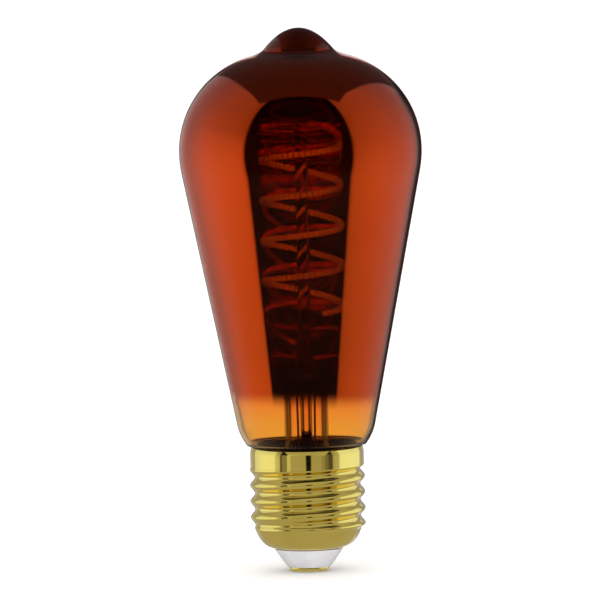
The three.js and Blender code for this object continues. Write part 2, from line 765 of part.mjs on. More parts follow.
const discPlace = [7.9, -1.6];
const surgeDisc = turned([
  [0, 12],
  [2, 12],
  [2.4, 12.4],
  [2.4, 13.8],
  [2, 14.2],
  [0, 14.2],
], 20).translate(discPlace[0], discPlace[1], 0);
const discLegs = [[discPlace[0], discPlace[1] - 1.2], [discPlace[0], discPlace[1] + 1.2]];
add(
  "surge_disc",
  joined([surgeDisc, ...legs(discLegs, 0.25, 14, BOARD_BOTTOM)]),
  finishes.blueDisc,
);

// Parts on top of the board -------------------------------------------------

const chokePlace = [-5.9, -3.9];
add("choke_core", turned([
  [0, BOARD_TOP],
  [3, BOARD_TOP],
  [3, BOARD_TOP + 0.9],
  [1.5, BOARD_TOP + 0.9],
  [1.5, BOARD_TOP + 4.1],
  [3, BOARD_TOP + 4.1],
  [3, BOARD_TOP + 5],
  [0, BOARD_TOP + 5],
], 20).translate(chokePlace[0], chokePlace[1], 0), finishes.ferrite);

add("choke_winding", turnedLoop([
  [1.53, BOARD_TOP + 0.93],
  [2.75, BOARD_TOP + 0.93],
  [2.75, BOARD_TOP + 4.07],
  [1.53, BOARD_TOP + 4.07],
], 20).translate(chokePlace[0], chokePlace[1], 0), finishes.copper);

add(
  "driver_chip",
  onBoard(chip(4.9, 3.9, 1.4, 4, 1.27, 1), 5, -4.2, HALF_TURN / 2),
  finishes.blackCase,
);
add("regulator_chip", onBoard(chip(2.9, 1.5, 1, 2, 1.9, 0.6), 6.3, 2.4), finishes.blackCase);

const radioMiddle = (RADIO_BOTTOM + RADIO_TOP) / 2;
const radioBoard = block(RADIO_WIDTH, RADIO_THICKNESS, RADIO_TOP - RADIO_BOTTOM);
add(
  "radio_board",
  radioBoard.translate(0, RADIO_FACE + RADIO_THICKNESS / 2, radioMiddle),
  finishes.board,
);
add(
  "radio_chip",
  block(4, 0.85, 4).translate(-0.6, RADIO_FACE - 0.435, radioMiddle),
  finishes.blackCase,
);
add(
  "radio_crystal",
  block(1.6, 0.6, 2.5).translate(-4.2, RADIO_FACE - 0.31, radioMiddle),
  finishes.nickel,
);

// A meander of narrow copper strips at the free end of the radio board.
function antenna() {
  const strip = 0.35;
  const depth = 0.12;
  const left = 2;
  const step = 0.8;
  const bottom = RADIO_BOTTOM + 0.7;
  const top = RADIO_TOP - 0.7;
  const pieces = [];
  for (let k = 0; k < 5; k += 1) {
    const x = left + k * step;
    pieces.push(block(strip, depth, top - bottom).translate(x, 0, (top + bottom) / 2));
    if (k > 0) {
      const height = k % 2 === 0 ? bottom + strip / 2 : top - strip / 2;
      pieces.push(block(step, depth, strip).translate(x - step / 2, 0, height));
    }
  }
  return joined(pieces).translate(0, RADIO_FACE - depth / 2 - 0.01, 0);
}

add("radio_antenna", antenna(), finishes.copper);

const stripWidth = PIN_COUNT * PIN_SPACING + 0.8;
const stripBody = block(stripWidth, 2.2, RADIO_BOTTOM - BOARD_TOP - 0.04);
const stripTools = pinPlaces.map(([x]) => block(0.6, 0.6, 4).translate(x, 0, 0));
const stripHeight = (RADIO_BOTTOM + BOARD_TOP) / 2;
add(
  "header_strip",
  cut(stripBody, stripTools).translate(0, pinRow, stripHeight),
  finishes.blackCase,
);
pinPlaces.forEach(([x, y], index) => {
  add(
    "header_pin_" + (index + 1),
    block(0.5, 0.5, 5).translate(x, y, BOARD_BOTTOM + 1.9),
    finishes.brass,
  );
});

// Supply wires --------------------------------------------------------------

add("live_wire", wire([
  [0, 0, CAP_FLOOR + 0.68],
  [0, 0, CAP_FLOOR + 1.1],
  [-0.9, -0.8, CAP_FLOOR + 1.6],
  [-2.9, -2.7, 5.9],
  [liveHole[0], liveHole[1], 8.2],
  [liveHole[0], liveHole[1], BOARD_TOP - 0.1],
], 0.45, 16), finishes.redWire);

const solderRadius = 0.4;
const solderHeight = 23.2;
const neutralReach = 11.25;
const neutralTurn = Math.atan2(neutralHole[1], neutralHole[0]);
add("neutral_wire", wire([
  [neutralHole[0], neutralHole[1], BOARD_BOTTOM - 0.5],
  [neutralHole[0], neutralHole[1], 20.5],
  [neutralHole[0] + 0.1, neutralHole[1], 22.4],
  [9.9 * Math.cos(neutralTurn), 9.9 * Math.sin(neutralTurn), solderHeight],
  [10.85 * Math.cos(neutralTurn), 10.85 * Math.sin(neutralTurn), solderHeight],
], 0.25, 14), finishes.blueWire);
add("neutral_solder", new THREE.SphereGeometry(solderRadius, 10, 7)
  .translate(neutralReach * Math.cos(neutralTurn), neutralReach * Math.sin(neutralTurn), solderHeight),
finishes.solder);

export default lamp;
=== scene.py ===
import math

import bmesh
import bpy
from mathutils import Matrix, Vector


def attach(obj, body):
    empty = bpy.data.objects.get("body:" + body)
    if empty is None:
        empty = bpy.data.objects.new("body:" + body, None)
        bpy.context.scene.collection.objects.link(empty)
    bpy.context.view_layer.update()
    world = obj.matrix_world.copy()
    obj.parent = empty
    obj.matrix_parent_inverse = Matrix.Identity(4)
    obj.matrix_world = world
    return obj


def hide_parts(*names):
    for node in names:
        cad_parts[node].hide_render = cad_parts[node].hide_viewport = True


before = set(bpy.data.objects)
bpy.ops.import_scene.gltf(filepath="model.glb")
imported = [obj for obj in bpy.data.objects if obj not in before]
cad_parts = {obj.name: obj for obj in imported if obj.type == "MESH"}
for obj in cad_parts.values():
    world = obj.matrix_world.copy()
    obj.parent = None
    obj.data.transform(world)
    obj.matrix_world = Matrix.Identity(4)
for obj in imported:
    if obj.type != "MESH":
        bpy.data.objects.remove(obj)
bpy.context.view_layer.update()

MM = 0.001

# ---------------------------------------------------------------- mesh tools


def mesh_object(name, vertices, faces, sharp_degrees=35):
    """A shown mesh from vertices in millimetres, smooth except over sharp edges."""
    mesh = bpy.data.meshes.new(name)
    mesh.from_pydata([(x * MM, y * MM, z * MM) for x, y, z in vertices], [], faces)
    mesh.validate()
    work = bmesh.new()
    work.from_mesh(mesh)
    bmesh.ops.recalc_face_normals(work, faces=work.faces)
    work.to_mesh(mesh)
    work.free()
    mesh.polygons.foreach_set("use_smooth", [True] * len(mesh.polygons))
    mesh.set_sharp_from_angle(angle=math.radians(sharp_degrees))
    item = bpy.data.objects.new(name, mesh)
    bpy.context.scene.collection.objects.link(item)
    return item


def piece(item, node, material):
    """item stands for a CAD node and its looks."""
    item.data.materials.append(material)
    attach(item, "root")
    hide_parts(node)
    return item


def revolve(name, profile, corners, shape=None, sharp_degrees=35):
    """Turns a closed (radius, height) profile; points with radius 0 become one vertex.
    shape(angle, radius, height) may move a point and returns (radius, height)."""
    vertices = []
    rings = []
    for radius, height in profile:
        if radius <= 1e-6:
            rings.append([len(vertices)])
            vertices.append((0, 0, height))
            continue
        ring = []
        for k in range(corners):
            angle = 2 * math.pi * k / corners
            r, z = shape(angle, radius, height) if shape else (radius, height)
            ring.append(len(vertices))
            vertices.append((r * math.cos(angle), r * math.sin(angle), z))
        rings.append(ring)
    faces = []
    count = len(rings)
    closed = len(rings[0]) > 1
    for k in range(count if closed else count - 1):
        a, b = rings[k], rings[(k + 1) % count]
        for i in range(corners):
            j = (i + 1) % corners
            if len(a) == 1 and len(b) == 1:
                continue
            if len(a) == 1:
                faces.append((a[0], b[j], b[i]))
            elif len(b) == 1:
                faces.append((a[i], a[j], b[0]))
            else:
                faces.append((a[i], a[j], b[j], b[i]))
    return mesh_object(name, vertices, faces, sharp_degrees)


def sweep(name, run, section_at, facing, sharp_degrees=50):
    """Carries a section along a run of points. section_at(step) gives (across, up) pairs."""
    vertices = []
    faces = []
    sides = len(section_at(0))
    last = len(run) - 1
    for step, point in enumerate(run):
        along = (run[min(step + 1, last)] - run[max(step - 1, 0)]).normalized()
        first = facing(point)
        first = (first - along * first.dot(along)).normalized()
        second = along.cross(first)
        for u, v in section_at(step):
            corner = point + first * u + second * v
            vertices.append(tuple(corner))
    for step in range(last):
        for k in range(sides):
            here = step * sides + k
            beside = step * sides + (k + 1) % sides
            faces.append((here, beside, beside + sides, here + sides))
    faces.append(tuple(range(sides - 1, -1, -1)))
    faces.append(tuple(range(last * sides, (last + 1) * sides)))
    return mesh_object(name, vertices, faces, sharp_degrees)


def smooth_run(points, steps):
    """Points on a centripetal Catmull-Rom curve through the given points."""
    knots = [Vector(p) for p in points]
    first = knots[0] * 2 - knots[1]
    final = knots[-1] * 2 - knots[-2]
    full = [first, *knots, final]
    run = []
    for k in range(1, len(full) - 2):
        p = full[k - 1 : k + 3]
        t = [0.0]
        for i in range(3):
            t.append(t[-1] + max((p[i + 1] - p[i]).length, 1e-6) ** 0.5)
        count = steps if k < len(full) - 3 else steps + 1
        for i in range(count):
            s = t[1] + (t[2] - t[1]) * i / steps
            a = [
                p[j] * ((t[j + 1] - s) / (t[j + 1] - t[j]))
                + p[j + 1] * ((s - t[j]) / (t[j + 1] - t[j]))
                for j in range(3)
            ]
            b = [
                a[j] * ((t[j + 2] - s) / (t[j + 2] - t[j]))
                + a[j + 1] * ((s - t[j]) / (t[j + 2] - t[j]))
                for j in range(2)
            ]
            run.append(b[0] * ((t[2] - s) / (t[2] - t[1])) + b[1] * ((s - t[1]) / (t[2] - t[1])))
    return run


def round_section(radius, sides=14):
    return [
        (radius * math.cos(2 * math.pi * k / sides), radius * math.sin(2 * math.pi * k / sides))
        for k in range(sides)
    ]


def arc(centre_r, centre_z, radius, start, end, steps):
    points = []
    for k in range(steps + 1):
        angle = start + (end - start) * k / steps
        points.append((centre_r + radius * math.cos(angle), centre_z + radius * math.sin(angle)))
    return points


def bend(start, control, end, steps):
    """A quadratic curve with its left-hand normals, as (r, z, normal r, normal z)."""
    rows = []
    for k in range(steps + 1):
        t = k / steps
        r = (1 - t) ** 2 * start[0] + 2 * t * (1 - t) * control[0] + t * t * end[0]
        z = (1 - t) ** 2 * start[1] + 2 * t * (1 - t) * control[1] + t * t * end[1]
        slope_r = (1 - t) * (control[0] - start[0]) + t * (end[0] - control[0])
        slope_z = (1 - t) * (control[1] - start[1]) + t * (end[1] - control[1])
        length = math.hypot(slope_r, slope_z)
        rows.append((r, z, -slope_z / length, slope_r / length))
    return rows


def smoothstep(value, low, high):
    t = min(max((value - low) / (high - low), 0.0), 1.0)
    return t * t * (3 - 2 * t)


# ------------------------------------------------------------ material tools

NOISE_ROUGHNESS = 0.55
NOISE_LOW = 0.3
NOISE_HIGH = 0.7


class Look:
    """A Principled material and short ways to feed its sockets from procedural nodes."""

    def __init__(self, name, **values):
        self.material = bpy.data.materials.new(name)
        self.material.use_nodes = True
        self.tree = self.material.node_tree
        self.shader = self.tree.nodes["Principled BSDF"]
        self.output = self.tree.nodes["Material Output"]
        self.place = self.node("ShaderNodeTexCoord").outputs["Object"]
        self.set(**values)

    def set(self, **values):
        for key, value in values.items():
            self.shader.inputs[key.replace("_", " ")].default_value = value

    def node(self, kind, **settings):
        made = self.tree.nodes.new(kind)
        for key, value in settings.items():
            setattr(made, key, value)
        return made

    def link(self, source, target):
        if isinstance(target, str):
            target = self.shader.inputs[target]
        self.tree.links.new(source, target)

    def stretch(self, scale):
        """Object coordinates scaled by (x, y, z)."""
        made = self.node("ShaderNodeMapping")
        made.inputs["Scale"].default_value = scale
        self.link(self.place, made.inputs["Vector"])
        return made.outputs["Vector"]

    def noise(self, scale, detail=3.0, vector=None):
        """Fractal noise around 0.5; scale is in features per metre."""
        made = self.node("ShaderNodeTexNoise")
        made.inputs["Scale"].default_value = scale
        made.inputs["Detail"].default_value = detail
        made.inputs["Roughness"].default_value = NOISE_ROUGHNESS
        self.link(vector or self.place, made.inputs["Vector"])
        return made.outputs["Fac"]

    def spread(self, source, low, high, out_low=0.0, out_high=1.0):
        """Maps low..high of source to out_low..out_high, easing at both ends."""
        made = self.node("ShaderNodeMapRange", interpolation_type="SMOOTHSTEP")
        made.inputs["From Min"].default_value = low
        made.inputs["From Max"].default_value = high
        made.inputs["To Min"].default_value = out_low
        made.inputs["To Max"].default_value = out_high
        self.link(source, made.inputs["Value"])
        return made.outputs["Result"]

    def math(self, operation, first, second=0.5):
        made = self.node("ShaderNodeMath", operation=operation)
        for socket, value in zip(made.inputs, (first, second)):
            if isinstance(value, (int, float)):
                socket.default_value = value
            else:
                self.link(value, socket)
        return made.outputs["Value"]

    def blend(self, fraction, first, second):
        """first where fraction is 0, second where it is 1; a tuple is a plain colour."""
        made = self.node("ShaderNodeMix", data_type="RGBA")
        self.link(fraction, made.inputs["Factor"])
        for socket, value in ((made.inputs[6], first), (made.inputs[7], second)):
            if isinstance(value, tuple):
                socket.default_value = (*value, 1.0)
            else:
                self.link(value, socket)
        return made.outputs[2]

    def axis(self, letter):
        made = self.node("ShaderNodeSeparateXYZ")
        self.link(self.place, made.inputs["Vector"])
        return made.outputs[letter]

    def bump(self, height, strength, distance):
        made = self.node("ShaderNodeBump")
        made.inputs["Strength"].default_value = strength
        made.inputs["Distance"].default_value = distance
        self.link(height, made.inputs["Height"])
        self.link(made.outputs["Normal"], "Normal")

    def pass_shadows(self, tint):
        """Light reaches what is behind the glass, tinted."""
        clear = self.node("ShaderNodeBsdfTransparent")
        clear.inputs["Color"].default_value = (*tint, 1.0)
        path = self.node("ShaderNodeLightPath")
        mix = self.node("ShaderNodeMixShader")
        self.link(path.outputs["Is Shadow Ray"], mix.inputs["Fac"])
        self.link(self.shader.outputs["BSDF"], mix.inputs[1])
        self.link(clear.outputs["BSDF"], mix.inputs[2])
        self.link(mix.outputs["Shader"], self.output.inputs["Surface"])


# -------------------------------------------------------------- glass finish

COAT_EDGE = 39.75
COAT_SOFTNESS = 4.2
COAT_SLANT = 0.045
COAT_WANDER = 0.4
COAT_SHARE = 0.93
COAT_SHARE_EDGE = 0.99
COAT_SHARE_TOP = 0.985
COAT_LIGHT = (0.805, 0.164, 0.038)
COAT_DARK = (0.755, 0.142, 0.031)
COAT_LOW_DOWN = (0.655, 0.138, 0.026)
# painted shade: darker copper for the dome, which mirrors a dark ceiling
COAT_DOME_SHADE = (0.57, 0.105, 0.026)
COAT_BURNT = (0.28, 0.052, 0.016)
GLASS_LIGHT = (0.925, 0.575, 0.185)
GLASS_DARK = (0.905, 0.545, 0.165)
GLASS_HAZE = (0.905, 0.46, 0.15)
# painted shade: near-black neck glass stands for the shade inside the cap
GLASS_NECK_SHADE = (0.05, 0.012, 0.006)
TIP_HEIGHT = 117.9
NECK_SHADE_HEIGHT = 29.05

amber = Look(
    "amber_glass", IOR=1.5, Transmission_Weight=1.0, Specular_Tint=(0.07, 0.07, 0.07, 1.0)
)
inside = amber.node("ShaderNodeAttribute", attribute_name="inside").outputs["Fac"]
height = amber.math("MULTIPLY", amber.axis("Z"), 1 / MM)

# where the coat is: on the inner face, above a soft edge that slants and wanders a little
wobble = amber.spread(amber.noise(45.0, 2.0), NOISE_LOW, NOISE_HIGH, -COAT_WANDER, COAT_WANDER)
slant = amber.math("MULTIPLY", amber.axis("X"), COAT_SLANT / MM)
edge_height = amber.math("ADD", amber.math("ADD", height, wobble), slant)
above = amber.spread(edge_height, COAT_EDGE - COAT_SOFTNESS / 2, COAT_EDGE + COAT_SOFTNESS / 2)
coated = amber.math("MULTIPLY", above, inside)

# the coat's copper: duller low down, darker on the dome as painted shade for the dark ceiling it
# mirrors, burnt where the tip was drawn off
cloud = amber.spread(amber.noise(38.0, 4.0), 0.32, 0.68)
copper_tone = amber.blend(cloud, COAT_DARK, COAT_LIGHT)
low_down = amber.spread(height, 50.0, 92.0, 1.0, 0.0)
copper_tone = amber.blend(low_down, copper_tone, COAT_LOW_DOWN)
# painted shade: the copper darkens on the dome
dome_shade = amber.spread(height, 96.0, 112.0)
copper_tone = amber.blend(dome_shade, copper_tone, COAT_DOME_SHADE)
burnt = amber.spread(height, TIP_HEIGHT - 0.6, TIP_HEIGHT + 0.6)
copper_tone = amber.blend(burnt, copper_tone, COAT_BURNT)

# the glass below it: amber, hazy under the coat's edge, and near-black at the neck as painted shade
# for the dark hollow of the cap
glass_tone = amber.blend(cloud, GLASS_DARK, GLASS_LIGHT)
haze = amber.spread(edge_height, 32.0, 39.0)
glass_tone = amber.blend(haze, glass_tone, GLASS_HAZE)
# painted shade: the neck glass goes near-black below this height
neck_shade = amber.spread(height, NECK_SHADE_HEIGHT - 0.35, NECK_SHADE_HEIGHT + 0.35, 1.0, 0.0)
glass_tone = amber.blend(neck_shade, glass_tone, GLASS_NECK_SHADE)
amber.link(amber.blend(coated, glass_tone, copper_tone), "Base Color")

# how much the coat mirrors; the rest of the light passes through it
share = amber.spread(height, 44.0, 50.0, COAT_SHARE_EDGE, COAT_SHARE)
dense = amber.spread(height, 99.5, 103.5, 0.0, COAT_SHARE_TOP)
share = amber.math("MAXIMUM", amber.math("MAXIMUM", share, dense), burnt)
amber.link(amber.math("MULTIPLY", coated, share), "Metallic")

smooth = amber.spread(amber.noise(260.0, 5.0), 0.3, 0.75, 0.0, 0.008)
scorched = amber.spread(height, TIP_HEIGHT + 0.6, TIP_HEIGHT + 1.5, 0.0, 0.45)
scorched = amber.math("MULTIPLY", scorched, inside)
amber.link(amber.math("MAXIMUM", smooth, scorched), "Roughness")
outside_only = amber.math("SUBTRACT", 1.0, inside)
amber.bump(amber.math("MULTIPLY", amber.noise(60.0, 1.0), outside_only), 0.003, 0.0006)
amber.pass_shadows((0.99, 0.62, 0.36))

clear = Look(
    "clear_glass", IOR=1.5, Transmission_Weight=1.0, Specular_Tint=(0.22, 0.12, 0.08, 1.0)
)
clear.link(
    clear.blend(clear.noise(120.0), (0.980, 0.840, 0.780), (0.990, 0.865, 0.810)), "Base Color"
)
clear.link(clear.spread(clear.noise(400.0, 4.0), 0.3, 0.75, 0.0, 0.03), "Roughness")
clear.bump(clear.noise(150.0, 2.0, vector=clear.stretch((1.0, 1.0, 0.15))), 0.12, 0.0004)
clear.pass_shadows((0.97, 0.98, 0.97))

# -------------------------------------------------------------- metal finish


def metal(name, dark, light, rough_low, rough_high, grain, bump=0.05):
    """A bare metal; grain stretches its fine marks along the way it was worked."""
    look = Look(name, Metallic=1.0)
    tone = look.spread(look.noise(90.0, 5.0), NOISE_LOW, NOISE_HIGH)
    look.link(look.blend(tone, dark, light), "Base Color")
    fine = look.noise(1500.0, 4.0, vector=look.stretch(grain))
    look.link(look.spread(fine, 0.25, 0.75, rough_low, rough_high), "Roughness")
    look.bump(fine, bump, 0.00008)
    return look


brass = metal(
    "rolled_brass",
    (0.775, 0.583, 0.120),
    (0.845, 0.637, 0.142),
    0.05,
    0.10,
    grain=(0.12, 0.12, 2.0),
    bump=0.015,
)
nickel = metal("nickel_wire", (0.50, 0.49, 0.46), (0.68, 0.66, 0.62), 0.22, 0.40, (1.0, 1.0, 0.2))
copper = metal("bare_copper", (0.72, 0.33, 0.18), (0.86, 0.45, 0.27), 0.20, 0.40, (1.0, 1.0, 0.2))
solder = metal("solder", (0.52, 0.53, 0.55), (0.72, 0.73, 0.75), 0.22, 0.45, (1.0, 1.0, 1.0), 0.15)

# ------------------------------------------------------------ non-metal finish


def matte(name, dark, light, scale, rough_low, rough_high, bump):
    """A moulded, printed or cast surface with a fine texture; scale sets its fineness."""
    look = Look(name)
    tone = look.spread(look.noise(scale, 5.0), NOISE_LOW, NOISE_HIGH)
    look.link(look.blend(tone, dark, light), "Base Color")
    fine = look.noise(scale * 6, 4.0)
    look.link(look.spread(fine, 0.25, 0.75, rough_low, rough_high), "Roughness")
    look.bump(fine, bump, 0.0001)
    return look


white = matte(
    "white_insulator", (0.70, 0.70, 0.73), (0.80, 0.80, 0.82), 160.0, 0.28, 0.48, 0.12
)
carrier = matte("carrier_strip", (0.62, 0.58, 0.46), (0.74, 0.70, 0.58), 700.0, 0.45, 0.65, 0.2)
# painted shade: the cement and the sleeve are near-black to stand for the shade in the hollow of
# the cap
cement = matte("cement_painted_shade", (0.06, 0.045, 0.03), (0.10, 0.08, 0.055), 500.0, 0.8, 0.95, 0.8)
sleeve = matte("sleeve_painted_shade", (0.018, 0.017, 0.016), (0.03, 0.028, 0.026), 220.0, 0.4, 0.6, 0.15)
board = matte("solder_resist", (0.012, 0.085, 0.04), (0.02, 0.13, 0.065), 900.0, 0.3, 0.5, 0.25)
black_case = matte("black_epoxy", (0.012, 0.012, 0.013), (0.03, 0.03, 0.032), 800.0, 0.45, 0.7, 0.5)
ferrite = matte("ferrite", (0.03, 0.03, 0.028), (0.07, 0.07, 0.065), 900.0, 0.5, 0.8, 0.6)
can = matte("shrink_sleeve", (0.02, 0.035, 0.075), (0.03, 0.05, 0.1), 400.0, 0.22, 0.35, 0.1)
red_case = matte("red_epoxy", (0.3, 0.035, 0.015), (0.4, 0.06, 0.03), 500.0, 0.3, 0.45, 0.3)
blue_disc = matte("blue_epoxy", (0.02, 0.1, 0.3), (0.035, 0.14, 0.4), 500.0, 0.3, 0.45, 0.3)
resistor = matte("resistor_lacquer", (0.55, 0.45, 0.25), (0.65, 0.54, 0.33), 600.0, 0.35, 0.5, 0.3)
live = matte("live_insulation", (0.35, 0.02, 0.012), (0.45, 0.035, 0.02), 500.0, 0.35, 0.5, 0.2)
neutral = matte("neutral_insulation", (0.01, 0.03, 0.2), (0.02, 0.05, 0.28), 500.0, 0.35, 0.5, 0.2)

phosphor = Look("phosphor_coat")
grain = phosphor.spread(phosphor.noise(2600.0, 5.0), NOISE_LOW, NOISE_HIGH)
yellow = phosphor.blend(grain, (0.84, 0.50, 0.08), (0.95, 0.64, 0.15))
over_chip = phosphor.node("ShaderNodeAttribute", attribute_name="chip").outputs["Fac"]
phosphor.link(phosphor.blend(over_chip, yellow, (0.50, 0.21, 0.04)), "Base Color")
phosphor.link(phosphor.spread(grain, 0.0, 1.0, 0.45, 0.7), "Roughness")
phosphor.bump(phosphor.noise(3400.0, 3.0), 0.5, 0.00006)

# ------------------------------------------------------------ glass envelope

TIP_TOP = 123.6
TIP_BOTTOM = 118.7
TIP_BREADTH = 12.9
TIP_FOOT_RADIUS = 11.2
DOME_RADIUS = 22.4
WIDEST_RADIUS = 27.55
WIDEST_HEIGHT = 95.7
WAIST_RADIUS = 25.0
CONE_ANGLE = math.radians(11.19)
SHOULDER_TOP = 33.5
SHOULDER_RADIUS = 11.0
SHOULDER_BOTTOM = 28.85
NECK_RADIUS = 12.3
NECK_BOTTOM = 23.9
GLASS_WALL = 0.9
TIP_ROWS = 14
FOOT_ROWS = 12
DOME_ROWS = 72
WAIST_ROWS = 16
CONE_ROWS = 24
SHOULDER_ROWS = 12
BULB_CORNERS = 168


def envelope_profile():
    """Outer half profile from the tip, a paraboloid, to the shoulder."""
    dome_r = WIDEST_RADIUS - DOME_RADIUS
    dome_z = WIDEST_HEIGHT
    dome_start = math.acos((TIP_FOOT_RADIUS - dome_r) / DOME_RADIUS)
    tip_r = math.sqrt(TIP_BREADTH * (TIP_TOP - TIP_BOTTOM))
    tip = []
    for k in range(TIP_ROWS + 1):
        r = tip_r * k / TIP_ROWS
        tip.append((r, TIP_TOP - r * r / TIP_BREADTH))
    tip_slope = -2 * tip_r / TIP_BREADTH
    foot_z = dome_z + DOME_RADIUS * math.sin(dome_start)
    foot_slope = -1 / math.tan(dome_start)
    meet_r = (TIP_BOTTOM - foot_z - tip_slope * tip_r + foot_slope * TIP_FOOT_RADIUS) / (
        foot_slope - tip_slope
    )
    meet = (meet_r, TIP_BOTTOM + tip_slope * (meet_r - tip_r))
    foot = bend((tip_r, TIP_BOTTOM), meet, (TIP_FOOT_RADIUS, foot_z), FOOT_ROWS)
    waist_r = WIDEST_RADIUS - WAIST_RADIUS
    cone_top_r = waist_r + WAIST_RADIUS * math.cos(CONE_ANGLE)
    cone_top_z = dome_z - WAIST_RADIUS * math.sin(CONE_ANGLE)
    cone_bottom_r = cone_top_r - (cone_top_z - SHOULDER_TOP) * math.tan(CONE_ANGLE)
    shoulder_r = cone_bottom_r - SHOULDER_RADIUS * math.cos(CONE_ANGLE)
    shoulder_z = SHOULDER_TOP + SHOULDER_RADIUS * math.sin(CONE_ANGLE)
    shoulder_end = -math.asin((shoulder_z - SHOULDER_BOTTOM) / SHOULDER_RADIUS)
    dome = arc(dome_r, dome_z, DOME_RADIUS, dome_start, 0, DOME_ROWS)
    waist = arc(waist_r, dome_z, WAIST_RADIUS, 0, -CONE_ANGLE, WAIST_ROWS)
    shoulder = arc(
        shoulder_r, shoulder_z, SHOULDER_RADIUS, -CONE_ANGLE, shoulder_end, SHOULDER_ROWS
    )
    cone = []
    for k in range(1, CONE_ROWS):
        t = k / CONE_ROWS
        r0, z0 = waist[-1]
        r1, z1 = shoulder[0]
        cone.append((r0 + (r1 - r0) * t, z0 + (z1 - z0) * t))
    foot = [(r, z) for r, z, _, _ in foot[1:]]
    return tip + foot + dome[1:] + waist[1:] + cone + shoulder


def inset(profile, depth):
    """The profile moved inwards along its normals; its first point stays on the axis."""
    moved = [(0.0, profile[0][1] - depth)]
    last = len(profile) - 1
    for k in range(1, last + 1):
        before = profile[k - 1]
        after = profile[min(k + 1, last)]
        along_r = after[0] - before[0]
        along_z = after[1] - before[1]
        length = math.hypot(along_r, along_z)
        r, z = profile[k]
        moved.append((r + depth * along_z / length, z - depth * along_r / length))
    return moved


def glass_envelope():
    """A thin shell with an open neck; the attribute inside is 1 on its inner face."""
    outside = envelope_profile()
    within = inset(outside, GLASS_WALL)[::-1]
    bore = NECK_RADIUS - GLASS_WALL
    foot = [
        (NECK_RADIUS + 0.25, SHOULDER_BOTTOM + 0.02),
        (NECK_RADIUS, SHOULDER_BOTTOM - 0.2),
        (NECK_RADIUS, NECK_BOTTOM + 0.2),
        (NECK_RADIUS - 0.2, NECK_BOTTOM),
        (bore + 0.2, NECK_BOTTOM),
        (bore, NECK_BOTTOM + 0.2),
        (bore, SHOULDER_BOTTOM),
    ]
    item = revolve("glass_bulb", outside + foot + within, BULB_CORNERS)
    marks = item.data.attributes.new("inside", "FLOAT", "POINT")
    values = [0.0] * len(item.data.vertices)
    first_inner = 1 + (len(outside) - 1 + len(foot)) * BULB_CORNERS
    for k in range(first_inner, len(values)):
        values[k] = 1.0
    marks.data.foreach_set("value", values)
    return item


piece(glass_envelope(), "glass_envelope", amber.material)

# --------------------------------------------------------- stem, tube and rod

STEM_RADIUS = 5.0
STEM_WALL = 0.9
FLARE_RADIUS = 11.3
FLARE_BOTTOM = 24.05
FLARE_TOP = 30.5
STEM_SHOULDER = 42.4
STEM_TOP = 46.0
PRESS_UNDERSIDE = 43.1
EXHAUST_RADIUS = 1.3
EXHAUST_BORE = 0.75
EXHAUST_BOTTOM = 20.0
ROD_RADIUS = 1.35
ROD_TOP = 103.0
ROD_ROWS = 24
LEAD_OFFSET = 2.0
LEAD_RADIUS = 0.25
BEAD_RADIUS = 0.45
BEAD_HEIGHT = 42.3


def stem_tube():
    """Closed over the exhaust tube at the top, flared out to the neck at the bottom."""
    flare = bend(
        (FLARE_RADIUS, FLARE_BOTTOM + STEM_WALL),
        (STEM_RADIUS, FLARE_BOTTOM + STEM_WALL + 0.4),
        (STEM_RADIUS, FLARE_TOP),
        20,
    )
    outer = [(r, z) for r, z, _, _ in flare]
    hollow = [(r + nr * STEM_WALL, z + nz * STEM_WALL) for r, z, nr, nz in flare]
    hollow[0] = (FLARE_RADIUS - 0.1, FLARE_BOTTOM)
    close = [
        (r, z)
        for r, z, _, _ in bend(
            (STEM_RADIUS, STEM_SHOULDER), (STEM_RADIUS, STEM_TOP), (ROD_RADIUS, STEM_TOP), 16
        )
    ]
    bore = STEM_RADIUS - STEM_WALL
    inner_top = [
        (r, z)
        for r, z, _, _ in bend(
            (0.4, PRESS_UNDERSIDE), (bore, PRESS_UNDERSIDE), (bore, PRESS_UNDERSIDE - 2.4), 12
        )
    ]
    profile = [(0, PRESS_UNDERSIDE), *inner_top, *hollow[1:][::-1], hollow[0], *outer, *close]
    return revolve("stem_glass", [*profile, (0, STEM_TOP)], 96)


def tube_with_bore():
    """The exhaust tube, melted shut at its lower end."""
    profile = [
        (0, EXHAUST_BOTTOM),
        (EXHAUST_RADIUS * 0.35, EXHAUST_BOTTOM + 0.08),
        (EXHAUST_RADIUS * 0.7, EXHAUST_BOTTOM + 0.5),
        (EXHAUST_RADIUS * 0.95, EXHAUST_BOTTOM + 1.3),
        (EXHAUST_RADIUS, EXHAUST_BOTTOM + 2.2),
        (EXHAUST_RADIUS, PRESS_UNDERSIDE - 0.05),
        (EXHAUST_BORE, PRESS_UNDERSIDE - 0.05),
        (EXHAUST_BORE, EXHAUST_BOTTOM + 2.6),
        (EXHAUST_BORE * 0.6, EXHAUST_BOTTOM + 1.9),
        (0, EXHAUST_BOTTOM + 1.7),
    ]
    return revolve("exhaust_glass", profile, 40)


